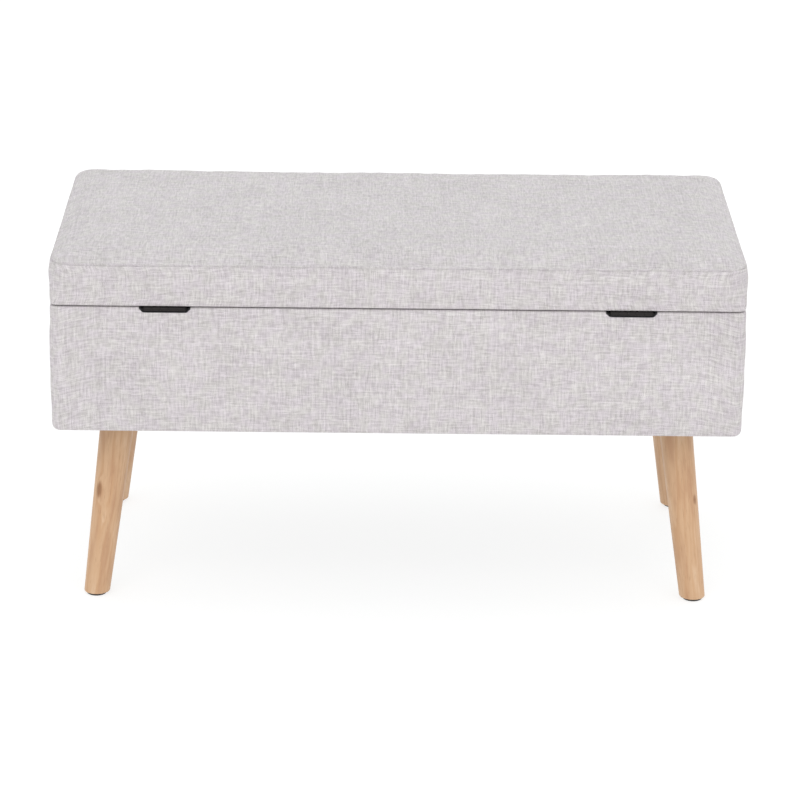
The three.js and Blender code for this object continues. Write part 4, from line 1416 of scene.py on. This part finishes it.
def finished_copy(node, finish, body, bevel):
    """A merged and softened copy of a plain node, which it stands for."""
    copy = bpy.data.objects.new(node + "_finished", frame["nodes"][node].data.copy())
    bpy.context.scene.collection.objects.link(copy)
    merged, flat_angle = 0.002 * MM, math.radians(0.5)
    edit(copy, "SELECT")
    bpy.ops.mesh.remove_doubles(threshold=merged)
    bpy.ops.mesh.dissolve_limited(angle_limit=flat_angle)
    close_edit()
    apply_modifier(
        copy, "BEVEL", width=bevel, segments=2, limit_method="ANGLE",
        angle_limit=math.radians(40), use_clamp_overlap=True,
    )
    shade_to(copy, 32)
    hand_over(copy, node + "_finished", finish, body, [node])


def pan_screw(radius, height):
    """A pan-head screw's head with a cross recess, standing on the origin along +Z."""
    choose_none()
    place = (0, 0, height / 2)
    bpy.ops.mesh.primitive_cylinder_add(vertices=28, radius=radius, depth=height, location=place)
    head = bpy.context.object
    settle(head)
    pick_edges(head, lambda a, b: min(a.z, b.z) > 0.9 * height)
    bevel_picked(0.62 * height, 4)
    for turn in (0, math.pi / 2):
        cutter = cross_cutter(radius, height, turn)
        apply_modifier(head, "BOOLEAN", object=cutter, operation="DIFFERENCE", solver="EXACT")
        discard(cutter)
    shade_to(head, 35)
    return head


def cross_cutter(radius, height, turn):
    """A four-sided wedge for one slot of a screw's cross recess."""
    longer = 2.6
    choose_none()
    bpy.ops.mesh.primitive_cone_add(
        vertices=4, radius1=0.16 * radius, radius2=0.34 * radius, depth=1.2 * height,
        location=(0, 0, 1.05 * height), rotation=(0, 0, math.pi / 4),
    )
    cutter = bpy.context.object
    settle(cutter)
    cutter.data.transform(Matrix.Rotation(turn, 4, "Z") @ Matrix.Diagonal((longer, 1, 1, 1)))
    return cutter


def build_leg_fittings():
    """Leg plates, hanger bolts, glides and the plates' screws."""
    screw = pan_screw(3.6 * MM, 2.1 * MM)
    for corner in CORNERS:
        finished_copy("leg_plate_" + corner, "zinc_steel", "case", 0.35 * MM)
        finished_copy("leg_bolt_" + corner, "zinc_steel", "case", 0.3 * MM)
        finished_copy("leg_glide_" + corner, "glide_plastic", "case", 0.3 * MM)
        build_plate_screws(screw, corner)
    discard(screw)


def build_plate_screws(screw, corner):
    """Four screws near the corners of one leg plate, each turned its own way."""
    low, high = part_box("leg_plate_" + corner)
    plate_x, plate_y = (low.x + high.x) / 2, (low.y + high.y) / 2
    plate_face = high.z - 2.5 * MM
    reach = 23 * MM
    for dx in (-reach, reach):
        for dy in (-reach, reach):
            x, y = plate_x + dx, plate_y + dy
            turn = Matrix.Rotation(math.pi, 4, "X") @ Matrix.Rotation(dx * 900 + dy * 400, 4, "Z")
            made = copy_piece(screw, Matrix.Translation((x, y, plate_face)) @ turn)
            side = "inner" if abs(x) < abs(plate_x) else "outer"
            end = "inner" if abs(y) < abs(plate_y) else "outer"
            hand_over(made, f"plate_screw_{corner}_{side}_{end}", "zinc_steel", "case")


# ---------------------------------------------------------------- hinges, stays and boards

def build_hinges():
    """Two black butt hinges with their pins and screws."""
    for side in SIDES:
        for body in ("case", "lid"):
            finished_copy(f"hinge_{body}_leaf_{side}", "black_steel", body, 0.18 * MM)
            for end in ("inner", "outer"):
                finished_copy(f"hinge_{body}_screw_{side}_{end}", "black_steel", body, 0.12 * MM)
        finished_copy("hinge_pin_" + side, "black_steel", "case", 0.2 * MM)


def build_stays():
    """The lid stays: brackets, arms and the brackets' screws."""
    flat_head = pan_screw(3.2 * MM, 0.22 * MM)
    pan_head = pan_screw(3.3 * MM, 1.7 * MM)
    for side, sign in SIDES.items():
        finished_copy("stay_case_bracket_" + side, "stay_steel", "case", 0.2 * MM)
        finished_copy("stay_lid_bracket_" + side, "stay_steel", "lid", 0.2 * MM)
        finished_copy("stay_lower_arm_" + side, "stay_steel", side + "_lower_arm", 0.3 * MM)
        finished_copy("stay_upper_arm_" + side, "stay_steel", side + "_upper_arm", 0.3 * MM)
        screw_case_bracket(flat_head, side, sign)
        screw_lid_bracket(pan_head, side, sign)
    discard(flat_head)
    discard(pan_head)


def screw_case_bracket(head, side, sign):
    """Two countersunk screws, one above the other, in a case bracket's upright face."""
    low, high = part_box("stay_case_bracket_" + side)
    reach = 14 * MM
    face = low.x if sign > 0 else high.x
    inward = Matrix.Rotation(-sign * math.pi / 2, 4, "Y")
    for name, up in (("upper", reach), ("lower", -reach)):
        place = Matrix.Translation((face, (low.y + high.y) / 2, (low.z + high.z) / 2 + up))
        made = copy_piece(head, place @ inward @ Matrix.Rotation(up * 50, 4, "Z"))
        hand_over(made, f"stay_case_screw_{side}_{name}", "zinc_steel", "case")


def screw_lid_bracket(head, side, sign):
    """Two screws, one behind the other, up through a lid bracket's flange."""
    low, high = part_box("stay_lid_bracket_" + side)
    flange_x = sign * 364 * MM
    flange_face = high.z - 1.5 * MM
    reach = 17 * MM
    upward = Matrix.Rotation(math.pi, 4, "X")
    for name, along in (("rear", -reach), ("front", reach)):
        place = Matrix.Translation((flange_x, (low.y + high.y) / 2 + along, flange_face))
        made = copy_piece(head, place @ upward @ Matrix.Rotation(along * 50, 4, "Z"))
        hand_over(made, f"stay_lid_screw_{side}_{name}", "zinc_steel", "lid")


def finish_boards():
    """Gives the boards and the corner blocks their wood. Their shapes stay as they are."""
    woods = {
        "rear_panel": "plywood_upright_long",
        "front_panel": "plywood_upright_long",
        "left_end_panel": "plywood_upright_end",
        "right_end_panel": "plywood_upright_end",
        "bottom_panel": "plywood_level",
        "lid_board": "plywood_level",
    }
    woods.update({"corner_block_" + corner: "corner_wood" for corner in CORNERS})
    for node, finish in woods.items():
        board = frame["nodes"][node]
        board.data.materials.clear()
        board.data.materials.append(material(finish))


# ---------------------------------------------------------------- stage

def stage_material(name, colour, glow):
    """Matt white paint that gives back some light of its own."""
    graph = Graph(name)
    grain = graph.noise(in_place(graph), 30.0, 2.0)
    paint = graph.mix(graph.times(grain, 0.02), (colour,) * 3, (colour * 0.97,) * 3)
    made = graph.finish(paint, roughness=0.95, specular_ior_level=0.1)
    graph.surface.inputs["Emission Color"].default_value = (1, 1, 1, 1)
    graph.surface.inputs["Emission Strength"].default_value = glow
    return made


def soft_light(name, place, target, size, power, tint):
    """A square soft box that faces a point of the object."""
    light = bpy.data.lights.new(name, "AREA")
    light.shape = "RECTANGLE"
    light.size, light.size_y = size
    light.energy = power
    light.color = tint
    lamp = bpy.data.objects.new(name, light)
    lamp.location = place
    lamp.rotation_euler = (Vector(target) - Vector(place)).to_track_quat("-Z", "Y").to_euler()
    bpy.context.scene.collection.objects.link(lamp)


def build_floor(look):
    """A white floor, far wider than the object."""
    width, drop, paint = 40, 0.05 * MM, 0.30
    choose_none()
    bpy.ops.mesh.primitive_plane_add(size=width, location=(0, 0, -drop))
    floor = bpy.context.object
    settle(floor)
    floor.name = "studio_floor"
    floor.data.materials.append(stage_material("studio_white", paint, look.floor_glow))


def build_lights(look):
    """The white room, and three soft boxes that face the object's middle."""
    world = bpy.data.worlds.new("studio_room")
    world.use_nodes = True
    room = world.node_tree.nodes["Background"]
    room.inputs["Color"].default_value = (0.975, 1.0, 0.99, 1.0)
    room.inputs["Strength"].default_value = look.room
    bpy.context.scene.world = world
    middle = (0, 0, 0.25)
    soft_light("key", (-1.2, -2.6, 3.4), middle, (2.4, 1.8), 26.0, (1.0, 0.995, 0.99))
    soft_light("fill", (2.2, -3.0, 1.5), middle, (1.8, 1.6), 12.0, (1.0, 0.97, 0.965))
    soft_light("rim", (0.4, 2.8, 2.6), middle, (2.6, 1.4), 14.0, (0.98, 1.0, 1.0))


def build_camera(look):
    """A long-lens camera on the hinge side, a little above the lid."""
    camera = bpy.data.cameras.new("studio_camera")
    camera.lens = look.lens
    camera.sensor_width = 36.0
    camera.clip_end = 60.0
    tripod = bpy.data.objects.new("studio_camera", camera)
    tripod.matrix_world = (
        Matrix.Translation(Vector(look.camera_place))
        @ Matrix.Rotation(-look.yaw, 4, "Z")
        @ Matrix.Rotation(math.pi / 2 - look.pitch, 4, "X")
        @ Matrix.Rotation(look.roll, 4, "Z")
    )
    bpy.context.scene.collection.objects.link(tripod)
    bpy.context.scene.camera = tripod
    bpy.context.scene.view_settings.view_transform = "Standard"


def build_stage(look):
    """White floor, white room, soft boxes and the camera."""
    build_floor(look)
    build_lights(look)
    build_camera(look)


# ---------------------------------------------------------------- operators, panel and start

class OTTOMAN_OT_lid_cushion(bpy.types.Operator):
    """Makes the lid's cushion: its sewn cover and its foam"""
    bl_idname = "ottoman.lid_cushion"
    bl_label = "Lid cushion"

    def execute(self, context):
        build_lid_cushion(context.scene.ottoman_lid)
        return {"FINISHED"}


class OTTOMAN_OT_case_cover(bpy.types.Operator):
    """Makes the case's cloth cover, the foam behind it and the black tapes of painted shade in its hinge
    recesses
    """
    bl_idname = "ottoman.case_cover"
    bl_label = "Case cover"

    def execute(self, context):
        build_case_cover(context.scene.ottoman_case)
        return {"FINISHED"}


class OTTOMAN_OT_linings(bpy.types.Operator):
    """Makes the three black linings and their staples"""
    bl_idname = "ottoman.linings"
    bl_label = "Linings"

    def execute(self, context):
        sizes = context.scene.ottoman_linings
        build_storage_lining(sizes)
        build_lid_lining(sizes)
        build_dust_cover(sizes)
        return {"FINISHED"}


class OTTOMAN_OT_legs(bpy.types.Operator):
    """Makes the four turned legs"""
    bl_idname = "ottoman.legs"
    bl_label = "Legs"

    def execute(self, context):
        build_legs(context.scene.ottoman_legs)
        return {"FINISHED"}


class OTTOMAN_OT_leg_fittings(bpy.types.Operator):
    """Makes the leg plates, bolts, glides and screws"""
    bl_idname = "ottoman.leg_fittings"
    bl_label = "Leg fittings"

    def execute(self, context):
        build_leg_fittings()
        return {"FINISHED"}


class OTTOMAN_OT_hinges(bpy.types.Operator):
    """Makes the hinges with their pins and screws"""
    bl_idname = "ottoman.hinges"
    bl_label = "Hinges"

    def execute(self, context):
        build_hinges()
        return {"FINISHED"}


class OTTOMAN_OT_stays(bpy.types.Operator):
    """Makes the lid stays"""
    bl_idname = "ottoman.stays"
    bl_label = "Lid stays"

    def execute(self, context):
        build_stays()
        return {"FINISHED"}


class OTTOMAN_OT_boards(bpy.types.Operator):
    """Finishes the boards and the corner blocks"""
    bl_idname = "ottoman.boards"
    bl_label = "Boards"

    def execute(self, context):
        finish_boards()
        return {"FINISHED"}


class OTTOMAN_OT_stage(bpy.types.Operator):
    """Sets up the floor, the lights and the camera"""
    bl_idname = "ottoman.stage"
    bl_label = "Stage"

    def execute(self, context):
        build_stage(context.scene.ottoman_stage)
        return {"FINISHED"}


OPERATORS = (
    OTTOMAN_OT_boards,
    OTTOMAN_OT_lid_cushion,
    OTTOMAN_OT_case_cover,
    OTTOMAN_OT_linings,
    OTTOMAN_OT_legs,
    OTTOMAN_OT_leg_fittings,
    OTTOMAN_OT_hinges,
    OTTOMAN_OT_stays,
    OTTOMAN_OT_stage,
)


class OTTOMAN_PT_panel(bpy.types.Panel):
    """Lists the ottoman's operators"""
    bl_idname = "OTTOMAN_PT_panel"
    bl_label = "Storage ottoman"
    bl_space_type = "VIEW_3D"
    bl_region_type = "UI"
    bl_category = "Ottoman"

    def draw(self, context):
        for operator in OPERATORS:
            self.layout.operator(operator.bl_idname)


GROUPS = {
    "ottoman_lid": OTTOMAN_PG_lid,
    "ottoman_case": OTTOMAN_PG_case,
    "ottoman_linings": OTTOMAN_PG_linings,
    "ottoman_legs": OTTOMAN_PG_legs,
    "ottoman_finishes": OTTOMAN_PG_finishes,
    "ottoman_stage": OTTOMAN_PG_stage,
}


def register():
    """Makes the values, the operators and the panel known."""
    for name, group in GROUPS.items():
        bpy.utils.register_class(group)
        setattr(bpy.types.Scene, name, PointerProperty(type=group))
    for operator in OPERATORS:
        bpy.utils.register_class(operator)
    bpy.utils.register_class(OTTOMAN_PT_panel)


def unregister():
    """Undoes what register does, the other way round."""
    bpy.utils.unregister_class(OTTOMAN_PT_panel)
    for operator in reversed(OPERATORS):
        bpy.utils.unregister_class(operator)
    for name, group in GROUPS.items():
        delattr(bpy.types.Scene, name)
        bpy.utils.unregister_class(group)


def main():
    """Makes every piece."""
    register()
    for operator in OPERATORS:
        group, name = operator.bl_idname.split(".")
        getattr(getattr(bpy.ops, group), name)()


if __name__ == "__main__":
    main()
